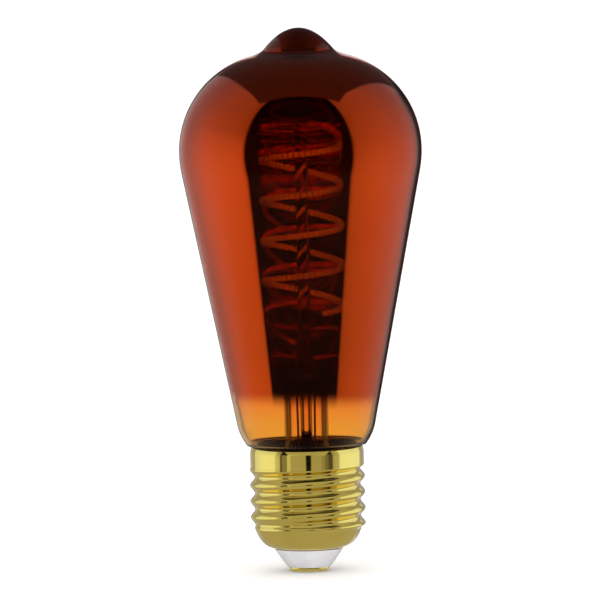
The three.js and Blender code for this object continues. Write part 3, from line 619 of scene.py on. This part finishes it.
def support_rod():
    """A solid rod with a fillet at its foot and a round end."""
    start = STEM_TOP + 0.03
    fillet_top = start + 1.3
    round_start = ROD_TOP - ROD_RADIUS
    profile = [
        (0, start),
        (ROD_RADIUS + 0.35, start),
        (ROD_RADIUS + 0.12, start + 0.5),
        (ROD_RADIUS, fillet_top),
    ]
    for k in range(1, ROD_ROWS + 1):
        profile.append((ROD_RADIUS, fillet_top + (round_start - fillet_top) * k / ROD_ROWS))
    profile += arc(0, round_start, ROD_RADIUS, 0, math.pi / 2, 10)[1:]
    profile[-1] = (0, ROD_TOP)

    def drawn(angle, radius, height):
        """Hand-drawn glass: its thickness wanders by a few hundredths."""
        return radius * (1 + 0.018 * math.sin(height * 0.31) * math.cos(angle)), height

    return revolve("rod_glass", profile, 40, drawn)


piece(stem_tube(), "stem_tube", clear.material)
piece(tube_with_bore(), "exhaust_tube", clear.material)
piece(support_rod(), "support_rod", clear.material)

# ------------------------------------------------------------------ filament

SPIRAL_RADIUS = 9.0
SPIRAL_PITCH = 9.15
SPIRAL_TOP = 96.96
SPIRAL_SLANT = 0.068
SPIRAL_TURNS = 4.175
CARRIER_THICKNESS = 0.3
CARRIER_HEIGHT = 1.0
PHOSPHOR_THICKNESS = 0.46
PHOSPHOR_HEIGHT = 1.3
LAYER_GAP = 0.02
CHIP_PITCH = 1.27
LAYER_STEPS = 1500
CARRIER_STEPS = 500
TAB_HALF_THICKNESS = 0.1
TAB_HALF_WIDTH = 0.4


def spiral_run(steps):
    """The strip's middle line, from its upper end down; it hangs askew, higher at -X."""
    run = []
    for step in range(steps + 1):
        turns = SPIRAL_TURNS * step / steps
        angle = -turns * 2 * math.pi
        x = SPIRAL_RADIUS * math.cos(angle)
        drop = turns * SPIRAL_PITCH - SPIRAL_SLANT * (SPIRAL_RADIUS - x)
        run.append(Vector((x, SPIRAL_RADIUS * math.sin(angle), SPIRAL_TOP - drop)))
    return run


def from_axis(point):
    return Vector((point.x, point.y, 0))


SPIRAL_LENGTH = SPIRAL_TURNS * math.hypot(2 * math.pi * SPIRAL_RADIUS, SPIRAL_PITCH)


def phosphor_layer(name, side):
    """A coat with a low swelling over every chip, rounded at its free corners."""
    run = spiral_run(LAYER_STEPS)
    back = CARRIER_THICKNESS / 2 + LAYER_GAP

    def section(step):
        along = SPIRAL_LENGTH * step / LAYER_STEPS
        end = min(along, SPIRAL_LENGTH - along)
        swell = 0.5 + 0.5 * math.cos(2 * math.pi * along / CHIP_PITCH)
        depth = PHOSPHOR_THICKNESS * (0.80 + 0.20 * swell)
        half = PHOSPHOR_HEIGHT / 2 * (0.90 + 0.10 * swell)
        depth *= 0.35 + 0.65 * smoothstep(end, 0.0, 0.9)
        points = [(0.0, -half * 0.96), (0.0, half * 0.96)]
        for k in range(8):
            angle = math.pi / 2 - math.pi * k / 7
            across = depth * (0.45 + 0.55 * max(math.cos(angle), 0.0) ** 0.7)
            points.append((across, half * math.sin(angle)))
        return [(side * (back + u), v) for u, v in points]

    item = sweep(name, run, section, from_axis, 70)
    marks = item.data.attributes.new("chip", "FLOAT", "POINT")
    sides = len(section(0))
    values = []
    for step in range(LAYER_STEPS + 1):
        phase = 2 * math.pi * SPIRAL_LENGTH * step / LAYER_STEPS / CHIP_PITCH
        values += [smoothstep(-math.cos(phase), 0.1, 0.9)] * sides
    marks.data.foreach_set("value", values)
    return item


def carrier_strip():
    half = CARRIER_THICKNESS / 2
    tall = CARRIER_HEIGHT / 2
    outline = [(-half, -tall), (half, -tall), (half, tall), (-half, tall)]
    return sweep("filament_strip", spiral_run(CARRIER_STEPS), lambda step: outline, from_axis)


piece(carrier_strip(), "filament_carrier", carrier.material)
piece(
    phosphor_layer("filament_coat_outer", 1),
    "filament_phosphor_outer",
    phosphor.material,
)
piece(
    phosphor_layer("filament_coat_inner", -1),
    "filament_phosphor_inner",
    phosphor.material,
)

spiral_end = spiral_run(66)[-1]
top_tab_run = smooth_run(
    [
        (SPIRAL_RADIUS, 0.06, SPIRAL_TOP + 0.02),
        (SPIRAL_RADIUS - 0.03, 0.6, SPIRAL_TOP - 0.05),
        (SPIRAL_RADIUS - 0.06, 0.95, SPIRAL_TOP - 0.7),
        (SPIRAL_RADIUS - 0.1, 1.0, SPIRAL_TOP - 4.6),
    ],
    8,
)
bottom_tab_run = [
    Vector((spiral_end.x - 0.13, spiral_end.y - 0.07, spiral_end.z)),
    Vector((-0.76, -2.28, spiral_end.z + 0.6)),
]
bottom_tab_along = bottom_tab_run[1] - bottom_tab_run[0]
bottom_tab_across = Vector((bottom_tab_along.y, -bottom_tab_along.x, 0))


def tab_section(step):
    thin, wide = TAB_HALF_THICKNESS, TAB_HALF_WIDTH
    return [(-thin, -wide), (thin, -wide), (thin, wide), (-thin, wide)]


piece(
    sweep("upper_tab", top_tab_run, tab_section, from_axis),
    "filament_tab_top",
    nickel.material,
)
piece(
    sweep("lower_tab", bottom_tab_run, tab_section, lambda point: bottom_tab_across),
    "filament_tab_bottom",
    nickel.material,
)

# ---------------------------------------------------------------- lead wires


def wire(name, points, radius):
    run = smooth_run(points, 8)
    section = round_section(radius)
    facing = Vector((0.31, 0.95, 0.03))
    return sweep(name, run, lambda step: section, lambda point: facing)


piece(
    wire(
        "long_lead",
        [
            (LEAD_OFFSET, 0, STEM_TOP - 0.9),
            (LEAD_OFFSET, 0, STEM_TOP + 0.6),
            (1.6, -0.9, STEM_TOP + 4),
            (1.25, -1.35, STEM_TOP + 8),
            (1.25, -1.35, 70),
            (1.25, -1.35, SPIRAL_TOP - 6.1),
            (1.6, -1.3, SPIRAL_TOP - 4.6),
            (3, -1, SPIRAL_TOP - 4.1),
            (8.5, 0.98, SPIRAL_TOP - 4.2),
        ],
        LEAD_RADIUS,
    ),
    "inner_lead_top",
    nickel.material,
)
piece(
    wire(
        "short_lead",
        [
            (-LEAD_OFFSET, 0, STEM_TOP - 0.9),
            (-LEAD_OFFSET, 0, STEM_TOP + 0.6),
            (-1.7, -1, STEM_TOP + 4),
            (-1.05, -1.9, STEM_TOP + 9),
            (-0.95, -2.05, spiral_end.z + 1.2),
        ],
        LEAD_RADIUS,
    ),
    "inner_lead_bottom",
    nickel.material,
)


def weld_bead(name, x):
    """A drop of melted wire: pear-shaped, fuller below."""
    profile = []
    for k in range(17):
        angle = -math.pi / 2 + math.pi * k / 16
        swell = 1.0 - 0.16 * math.sin(angle)
        radius = BEAD_RADIUS * math.cos(angle) * swell * 0.92
        profile.append((max(radius, 0.0), BEAD_HEIGHT + BEAD_RADIUS * math.sin(angle)))
    profile[0] = (0, profile[0][1])
    profile[-1] = (0, profile[-1][1])
    item = revolve(name, profile, 24)
    for vertex in item.data.vertices:
        vertex.co.x += x * MM
    return item


for letter, side in (("a", -1), ("b", 1)):
    piece(
        weld_bead("lead_knot_" + letter, side * LEAD_OFFSET),
        "weld_bead_" + letter,
        solder.material,
    )
    piece(
        wire(
            "foot_lead_" + letter,
            [
                (side * LEAD_OFFSET, 0, BEAD_HEIGHT - BEAD_RADIUS),
                (side * LEAD_OFFSET, 0, 26),
                (side * 2.6, 0.3, 21),
                (side * 3.4, 0.8, 18.4),
                (side * 3.4, 0.8, 14.3),
            ],
            LEAD_RADIUS,
        ),
        "outer_lead_" + letter,
        copper.material,
    )

# --------------------------------------------------------------- screw shell

SHELL_WALL = 0.3
RIM_TOP = 28.55
ROLL_BOTTOM = 27.25
ROLL_DEPTH = 0.25
BAND_BOTTOM = 24.3
BAND_RADIUS = 12.93
CREST_RADIUS = 13.1
ROOT_RADIUS = 12.05
THREAD_PITCH = 3.629
THREAD_PHASE = 14.28
THREAD_BOTTOM = 9.5
THREAD_ROWS = 120
SHELL_CORNERS = 200
LIP_START = (7.6, 5.25)
LIP_BEND = (10.75, 5.7)


def thread_rise(angle, height):
    """How far the sheet stands out past the root radius, on a right-hand helix."""
    crest = THREAD_PHASE + THREAD_PITCH * angle / (2 * math.pi)
    wave = 0.5 + 0.5 * math.cos(2 * math.pi * (height - crest) / THREAD_PITCH)
    fade_in = smoothstep(height, THREAD_BOTTOM - 0.2, THREAD_BOTTOM + 1.3)
    fade_out = smoothstep(height, BAND_BOTTOM - 1.2, BAND_BOTTOM)
    thread = (CREST_RADIUS - ROOT_RADIUS) * wave * fade_in
    return thread + (BAND_RADIUS - ROOT_RADIUS - thread) * fade_out


def screw_shell():
    """Thin sheet all the way: lip, thread and rim band, its edge rolled in at the top."""
    rows = bend(LIP_START, LIP_BEND, (ROOT_RADIUS, THREAD_BOTTOM), 16)[:-1]
    for k in range(THREAD_ROWS + 1):
        height = THREAD_BOTTOM + (BAND_BOTTOM - THREAD_BOTTOM) * k / THREAD_ROWS
        rows.append((ROOT_RADIUS, height, -1, 0))
    for height in (25.5, 26.9, ROLL_BOTTOM - 0.06, ROLL_BOTTOM + 0.06, RIM_TOP - 0.12):
        rolled = max(height - ROLL_BOTTOM, 0.0) / (RIM_TOP - ROLL_BOTTOM)
        rows.append((ROOT_RADIUS - ROLL_DEPTH * rolled, height, -1, 0))
    rows.append((ROOT_RADIUS - ROLL_DEPTH - 0.08, RIM_TOP, -1, 0))
    loop = [(row, 0.0) for row in rows] + [(row, SHELL_WALL) for row in reversed(rows)]
    vertices = []
    faces = []
    for (r, z, nr, nz), depth in loop:
        for k in range(SHELL_CORNERS):
            angle = 2 * math.pi * k / SHELL_CORNERS
            radius = r + thread_rise(angle, z) + nr * depth
            if depth > 0 and z == RIM_TOP:
                radius += 0.12
            vertices.append(
                (radius * math.cos(angle), radius * math.sin(angle), z + nz * depth)
            )
    for row in range(len(loop)):
        here = row * SHELL_CORNERS
        above = (row + 1) % len(loop) * SHELL_CORNERS
        for k in range(SHELL_CORNERS):
            beside = (k + 1) % SHELL_CORNERS
            faces.append((here + k, here + beside, above + beside, above + k))
    return mesh_object("thread_shell", vertices, faces, 40)


piece(screw_shell(), "screw_shell", brass.material)

# ----------------------------------------------------- insulator and contact

CONTACT_RADIUS = 4.6
CONTACT_FLAT = 3.2
CONTACT_HEIGHT = 1.0
RIVET_RADIUS = 1.2
CAP_FLOOR = 3.3
SLEEVE_BOTTOM = 9.47


def cap_insulator():
    seat = bend(LIP_START, LIP_BEND, (ROOT_RADIUS, THREAD_BOTTOM), 20)[:-2]
    gap = SHELL_WALL + 0.04
    flange = [(r + nr * gap, z + nz * gap) for r, z, nr, nz in seat]
    top = SLEEVE_BOTTOM - 0.02
    profile = [
        (RIVET_RADIUS + 0.05, CONTACT_HEIGHT),
        (CONTACT_RADIUS + 0.2, CONTACT_HEIGHT),
        (CONTACT_RADIUS + 0.34, CONTACT_HEIGHT + 0.05),
        (CONTACT_RADIUS + 0.45, CONTACT_HEIGHT + 0.18),
        (5.8, 2.15),
        (6.6, 3.3),
        (7.4, 4.45),
        (7.8, 5.02),
        (7.88, 5.16),
        (7.8, 5.2),
        (7.3, 5.2),
        *flange,
        (flange[-1][0], top),
        (10.4, top),
        (9.0, 7.4),
        (6.2, 5.4),
        (CAP_FLOOR, CAP_FLOOR),
        (RIVET_RADIUS + 0.05, CAP_FLOOR),
    ]
    return revolve("insulator_cone", profile, 120)


def centre_contact():
    top = CONTACT_HEIGHT - 0.02
    profile = [
        (0, 0),
        (CONTACT_FLAT, 0),
        (3.6, 0.03),
        (4.0, 0.11),
        (4.3, 0.25),
        (4.5, 0.45),
        (CONTACT_RADIUS, 0.72),
        (CONTACT_RADIUS, top - 0.06),
        (CONTACT_RADIUS - 0.06, top),
        (0, top),
    ]
    return revolve("contact_disc", profile, 96)


piece(cap_insulator(), "cap_insulator", white.material)
piece(centre_contact(), "centre_contact", brass.material)

# ----------------------------------------------- pieces kept from the CAD frame

kept = {
    "contact_rivet": brass,
    "cement_ring": cement,
    "driver_sleeve": sleeve,
    "driver_board": board,
    "bulk_capacitor": can,
    "bridge_rectifier": black_case,
    "film_capacitor": red_case,
    "fuse_resistor": resistor,
    "surge_disc": blue_disc,
    "choke_core": ferrite,
    "choke_winding": copper,
    "driver_chip": black_case,
    "regulator_chip": black_case,
    "radio_board": board,
    "radio_chip": black_case,
    "radio_crystal": nickel,
    "radio_antenna": copper,
    "header_strip": black_case,
    "header_pin_1": brass,
    "header_pin_2": brass,
    "header_pin_3": brass,
    "header_pin_4": brass,
    "live_wire": live,
    "neutral_wire": neutral,
    "neutral_solder": solder,
}
for node_name, look in kept.items():
    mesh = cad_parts[node_name].data
    mesh.materials.clear()
    mesh.materials.append(look.material)

# -------------------------------------------------------------------- studio

# the floor is pale from above and not there from below
floor_look = Look("studio_floor", Roughness=0.9)
floor_look.link(
    floor_look.blend(floor_look.noise(3.0, 2.0), (0.84, 0.84, 0.84), (0.87, 0.87, 0.87)),
    "Base Color",
)
back = floor_look.node("ShaderNodeNewGeometry").outputs["Backfacing"]
see_through = floor_look.node("ShaderNodeBsdfTransparent")
floor_mix = floor_look.node("ShaderNodeMixShader")
floor_look.link(back, floor_mix.inputs["Fac"])
floor_look.link(floor_look.shader.outputs["BSDF"], floor_mix.inputs[1])
floor_look.link(see_through.outputs["BSDF"], floor_mix.inputs[2])
floor_look.link(floor_mix.outputs["Shader"], floor_look.output.inputs["Surface"])

FLOOR_REACH = 12000.0
FLOOR_LEVEL = -0.05
floor = mesh_object(
    "floor",
    [
        (-FLOOR_REACH, -FLOOR_REACH, FLOOR_LEVEL),
        (FLOOR_REACH, -FLOOR_REACH, FLOOR_LEVEL),
        (FLOOR_REACH, FLOOR_REACH, FLOOR_LEVEL),
        (-FLOOR_REACH, FLOOR_REACH, FLOOR_LEVEL),
    ],
    [(0, 1, 2, 3)],
)
floor.data.materials.append(floor_look.material)
floor.visible_glossy = False
floor.visible_transmission = False
floor.visible_shadow = False


def receivers(name, items):
    """A group of objects that one light alone reaches."""
    group = bpy.data.collections.new(name)
    for item in items:
        group.objects.link(item)
    return group


def area_light(name, place, aim, size, watts, only=None, shows=False, tint=(1.0, 1.0, 1.0)):
    """A rectangle of light, size = (width, height) in metres. only: what it reaches;
    shows: whether it is seen in reflections."""
    light = bpy.data.lights.new(name, "AREA")
    light.color = tint
    light.shape = "RECTANGLE"
    light.size, light.size_y = size
    light.energy = watts
    item = bpy.data.objects.new(name, light)
    item.location = place
    direction = Vector(aim) - Vector(place)
    item.rotation_euler = direction.to_track_quat("-Z", "Y").to_euler()
    item.visible_camera = False
    item.visible_glossy = shows
    item.visible_transmission = shows
    if only:
        item.light_linking.receiver_collection = only
    bpy.context.scene.collection.objects.link(item)


OVERHEAD_STRENGTH = 3.9
OVERHEAD_SPREAD = math.radians(110)
FRONT_FILL_WATTS = 31.0
sun_light = bpy.data.lights.new("overhead", "SUN")
sun_light.energy = OVERHEAD_STRENGTH
sun_light.angle = OVERHEAD_SPREAD
sun = bpy.data.objects.new("overhead", sun_light)
sun.visible_glossy = False
sun.visible_transmission = False
bpy.context.scene.collection.objects.link(sun)
area_light("front_fill", (0.0, -2.2, 0.9), (0.0, 0.0, 0.06), (2.4, 1.6), FRONT_FILL_WATTS)

filament_group = receivers(
    "filament_receivers",
    [bpy.data.objects[name] for name in (
        "filament_strip", "filament_coat_outer", "filament_coat_inner", "upper_tab",
        "lower_tab", "long_lead", "short_lead",
    )],
)
FILAMENT_MIDDLE = (0.0, 0.0, 0.08)
for side, depth, watts in (("front", -0.8, 28.5), ("back", 0.8, 32.0)):
    place = (0.0, depth, 0.2)
    area_light("filament_" + side, place, FILAMENT_MIDDLE, (0.5, 0.5), watts, filament_group)

cap_group = receivers(
    "cap_receivers", [bpy.data.objects[name] for name in ("thread_shell", "contact_disc")]
)
CAP_HEIGHT = 0.02
CARD_DISTANCE = 0.5


def card(name, azimuth, half_width, radiance, tint, rise=-0.5, half_height=15.5):
    """A reflector card seen by the cap alone; angles in degrees from straight ahead."""
    turn = math.radians(azimuth)
    tilt = math.radians(rise)
    place = (
        CARD_DISTANCE * math.sin(turn) * math.cos(tilt),
        -CARD_DISTANCE * math.cos(turn) * math.cos(tilt),
        CAP_HEIGHT + CARD_DISTANCE * math.sin(tilt),
    )
    width = 2 * CARD_DISTANCE * math.tan(math.radians(half_width))
    height = 2 * CARD_DISTANCE * math.tan(math.radians(half_height))
    watts = radiance * math.pi * width * height
    aim = (0, 0, CAP_HEIGHT)
    area_light(name, place, aim, (width, height), watts, cap_group, True, tint)


WARM = (1.0, 1.0, 0.92)
COOL = (1.0, 1.38, 2.20)
PALE = (1.0, 1.06, 1.70)
card("card_left", -18.3, 15.5, 0.44, WARM)
card("card_left_edge", -37.5, 3.7, 0.68, WARM)
card("card_left_gap", -47.0, 5.8, 0.26, WARM)
card("card_right", 18.4, 10.7, 0.44, WARM)
card("card_right_second", 32.5, 3.4, 0.33, WARM)
card("card_right_third", 39.5, 3.6, 0.20, WARM)
card("card_right_fourth", 46.5, 3.4, 0.09, WARM)
card("card_high", 0.0, 40.0, 0.48, WARM, 42.5, 27.5)
card("card_behind_right", 161.0, 13.0, 0.35, PALE, 4.0, 30.0)
card("card_far_left", -100.0, 32.0, 0.28, COOL, 4.0, 30.0)
card("card_far_right", 100.0, 32.0, 0.38, COOL, 4.0, 30.0)


class Sky:
    """Short ways to build the world's nodes."""

    def __init__(self, world):
        world.use_nodes = True
        self.tree = world.node_tree
        self.tree.nodes.clear()

    def node(self, kind, **settings):
        made = self.tree.nodes.new(kind)
        for key, value in settings.items():
            setattr(made, key, value)
        return made

    def link(self, source, target):
        self.tree.links.new(source, target)

    def math(self, operation, *values):
        made = self.node("ShaderNodeMath", operation=operation)
        for socket, value in zip(made.inputs, values):
            if isinstance(value, (int, float)):
                socket.default_value = value
            else:
                self.link(value, socket)
        return made.outputs["Value"]

    def spread(self, source, low, high, out_low=0.0, out_high=1.0):
        """Maps low..high of source to out_low..out_high, easing at both ends."""
        made = self.node("ShaderNodeMapRange", interpolation_type="SMOOTHSTEP")
        made.inputs["From Min"].default_value = low
        made.inputs["From Max"].default_value = high
        made.inputs["To Min"].default_value = out_low
        made.inputs["To Max"].default_value = out_high
        self.link(source, made.inputs["Value"])
        return made.outputs["Result"]

    def ramp(self, source, stops):
        """Brightness along source, from (position, brightness) stops."""
        made = self.node("ShaderNodeValToRGB")
        elements = made.color_ramp.elements
        while len(elements) < len(stops):
            elements.new(0.5)
        for element, (position, value) in zip(elements, stops):
            element.position = position
        for element, (position, value) in zip(elements, stops):
            element.color = (value, value, value, 1.0)
        self.link(source, made.inputs["Fac"])
        return made.outputs["Color"]

    def blend(self, fraction, first, second):
        made = self.node("ShaderNodeMix", data_type="RGBA")
        self.link(fraction, made.inputs["Factor"])
        self.link(first, made.inputs[6])
        self.link(second, made.inputs[7])
        return made.outputs[2]

    def choose(self, fraction, first, second):
        """The same for single values; second may be a number."""
        made = self.node("ShaderNodeMix", data_type="FLOAT")
        self.link(fraction, made.inputs["Factor"])
        self.link(first, made.inputs["A"])
        if isinstance(second, float):
            made.inputs["B"].default_value = second
        else:
            self.link(second, made.inputs["B"])
        return made.outputs["Result"]


# The studio's walls, as brightness against the angle in degrees from straight ahead of the lamp
# (the viewer's side) round to straight behind it.
FRONT_WALL = 0.010
CEILING = 0.095
FLAG = 0.04
BACK_WALL = 1.4
LOWER_HALF = 0.58
LOWER_FROM = (-0.37, -0.31)
UPPER_FROM = (0.20, 0.36)
UPPER_SHIFT = 4.0
UPPER_DIMMING = 0.62
CEILING_HALF_WIDTH = (0.60, 0.66)
CEILING_FRONT = (-0.35, -0.29)
CEILING_BACK = (3.0, 4.0)
CEILING_WIDENING = 0.09
CEILING_WIDENING_RIGHT = 0.18
SEEN_BESIDE = 0.16
SEEN_BEHIND = 1.24
SEEN_BEHIND_FROM = (163.0, 169.0)
GLASS_CROSSINGS = 4.5
LEFT_WALL = [
    (55.0, FRONT_WALL), (58.5, 0.83), (62.0, 0.95), (68.0, 1.00), (90.0, 1.07), (102.0, 1.07),
    (114.0, 0.97), (127.0, 0.79), (137.0, 0.65), (147.0, 0.67), (160.0, 0.78), (166.0, 0.70),
    (168.5, 0.06), (173.0, 0.06), (176.0, BACK_WALL),
]
RIGHT_WALL = [
    (51.0, FRONT_WALL), (54.5, 0.61), (58.0, 0.70), (66.0, 0.78), (83.0, 0.89), (102.0, 0.90),
    (127.0, 0.84), (137.0, 0.74), (147.0, 0.51), (152.0, 0.16), (158.0, FLAG), (171.0, FLAG),
    (174.0, BACK_WALL),
]
UPPER_WALL = [
    (51.0, FRONT_WALL), (54.5, 0.70), (66.0, 0.88), (102.0, 0.97), (137.0, 0.72), (160.0, 0.70),
    (175.0, 0.80),
]
HALF_TURN = 180.0

world = bpy.data.worlds.new("studio")
bpy.context.scene.world = world
sky = Sky(world)
split = sky.node("ShaderNodeSeparateXYZ")
sky.link(sky.node("ShaderNodeTexCoord").outputs["Generated"], split.inputs["Vector"])
across, ahead, up = split.outputs
aside = sky.math("ABSOLUTE", across)
turned = sky.math("ARCTAN2", aside, sky.math("MULTIPLY", ahead, -1.0))
azimuth = sky.math("DIVIDE", turned, math.pi)
on_right = sky.math("GREATER_THAN", across, 0.0)
offset = sky.math("MULTIPLY", sky.math("SUBTRACT", 1.0, on_right), UPPER_SHIFT / HALF_TURN)
upper_azimuth = sky.math("SUBTRACT", azimuth, offset)
left, right, upper = [
    sky.ramp(source, [(angle / HALF_TURN, value) for angle, value in stops])
    for source, stops in (
        (azimuth, LEFT_WALL), (azimuth, RIGHT_WALL), (upper_azimuth, UPPER_WALL)
    )
]
lower = sky.blend(on_right, left, right)
wall = sky.blend(sky.spread(up, *UPPER_FROM), lower, upper)
dimming = sky.spread(up, -0.45, 0.8, 1.0, UPPER_DIMMING)

# a dark ceiling panel overhead, which widens towards the back
height = sky.math("MAXIMUM", up, 0.001)
over_x = sky.math("DIVIDE", aside, height)
over_y = sky.math("DIVIDE", ahead, height)
widening = sky.math("MULTIPLY", on_right, CEILING_WIDENING_RIGHT)
widening = sky.math("ADD", widening, CEILING_WIDENING)
widening = sky.math("MULTIPLY", widening, sky.math("MAXIMUM", over_y, 0.0))
over_x = sky.math("SUBTRACT", over_x, widening)
within_sides = sky.spread(over_x, *CEILING_HALF_WIDTH, 1.0, 0.0)
above = sky.math("MULTIPLY", within_sides, sky.spread(over_y, *CEILING_FRONT))
above = sky.math("MULTIPLY", above, sky.spread(over_y, *CEILING_BACK, 1.0, 0.0))
strength = sky.math(
    "ADD",
    sky.math("MULTIPLY", sky.math("MULTIPLY", wall, dimming), sky.math("SUBTRACT", 1.0, above)),
    sky.math("MULTIPLY", above, CEILING),
)

# rays mirrored by the outer surfaces find a bright lower half
rays = sky.node("ShaderNodeLightPath")
crossings = rays.outputs["Transmission Depth"]
mirrored = sky.math("LESS_THAN", crossings, 0.5)
below = sky.math("MULTIPLY", sky.spread(up, *LOWER_FROM, 1.0, 0.0), mirrored)
level = sky.choose(below, strength, LOWER_HALF)

# rays seen through the glass find a bright sheet behind the lamp and dim sides
direct = sky.math("LESS_THAN", rays.outputs["Glossy Depth"], 0.5)
threaded = sky.math("GREATER_THAN", crossings, GLASS_CROSSINGS)
straight = sky.math("MAXIMUM", direct, threaded)
behind_from = [angle / HALF_TURN for angle in SEEN_BEHIND_FROM]
behind = sky.spread(azimuth, *behind_from, SEEN_BESIDE, SEEN_BEHIND)
seen = sky.choose(straight, level, behind)
sky_light = sky.node("ShaderNodeBackground")
sky.link(seen, sky_light.inputs["Strength"])
plain = sky.node("ShaderNodeBackground")
plain.inputs["Color"].default_value = (1.0, 1.0, 1.0, 1.0)
backdrop = sky.node("ShaderNodeMixShader")
sky.link(rays.outputs["Is Camera Ray"], backdrop.inputs["Fac"])
sky.link(sky_light.outputs["Background"], backdrop.inputs[1])
sky.link(plain.outputs["Background"], backdrop.inputs[2])
sky.link(backdrop.outputs["Shader"], sky.node("ShaderNodeOutputWorld").inputs["Surface"])

bpy.context.scene.view_settings.view_transform = "Standard"

# -------------------------------------------------------------------- camera

ELEVATION = math.radians(4.2)
DISTANCE = 1.8
MM_PER_PIXEL = 0.227
LEAN = math.radians(1.25)
PICTURE_PIXELS = 600
SENSOR_WIDTH = 36.0
target = Vector((-0.84 * MM, 0.0, 61.7 * MM))
camera_data = bpy.data.cameras.new("camera")
camera_data.sensor_width = SENSOR_WIDTH
camera_data.lens = SENSOR_WIDTH * DISTANCE / (PICTURE_PIXELS * MM_PER_PIXEL * MM)
camera_data.clip_start = 0.1
camera_data.clip_end = 40.0
camera = bpy.data.objects.new("camera", camera_data)
away = Vector((0.0, -math.cos(ELEVATION), math.sin(ELEVATION)))
camera.rotation_mode = "QUATERNION"
turn = (-away).to_track_quat("-Z", "Y").to_matrix().to_4x4()
roll = Matrix.Rotation(-LEAN, 4, "Z")
camera.matrix_world = Matrix.Translation(target + away * DISTANCE) @ turn @ roll
bpy.context.scene.collection.objects.link(camera)
bpy.context.scene.camera = camera
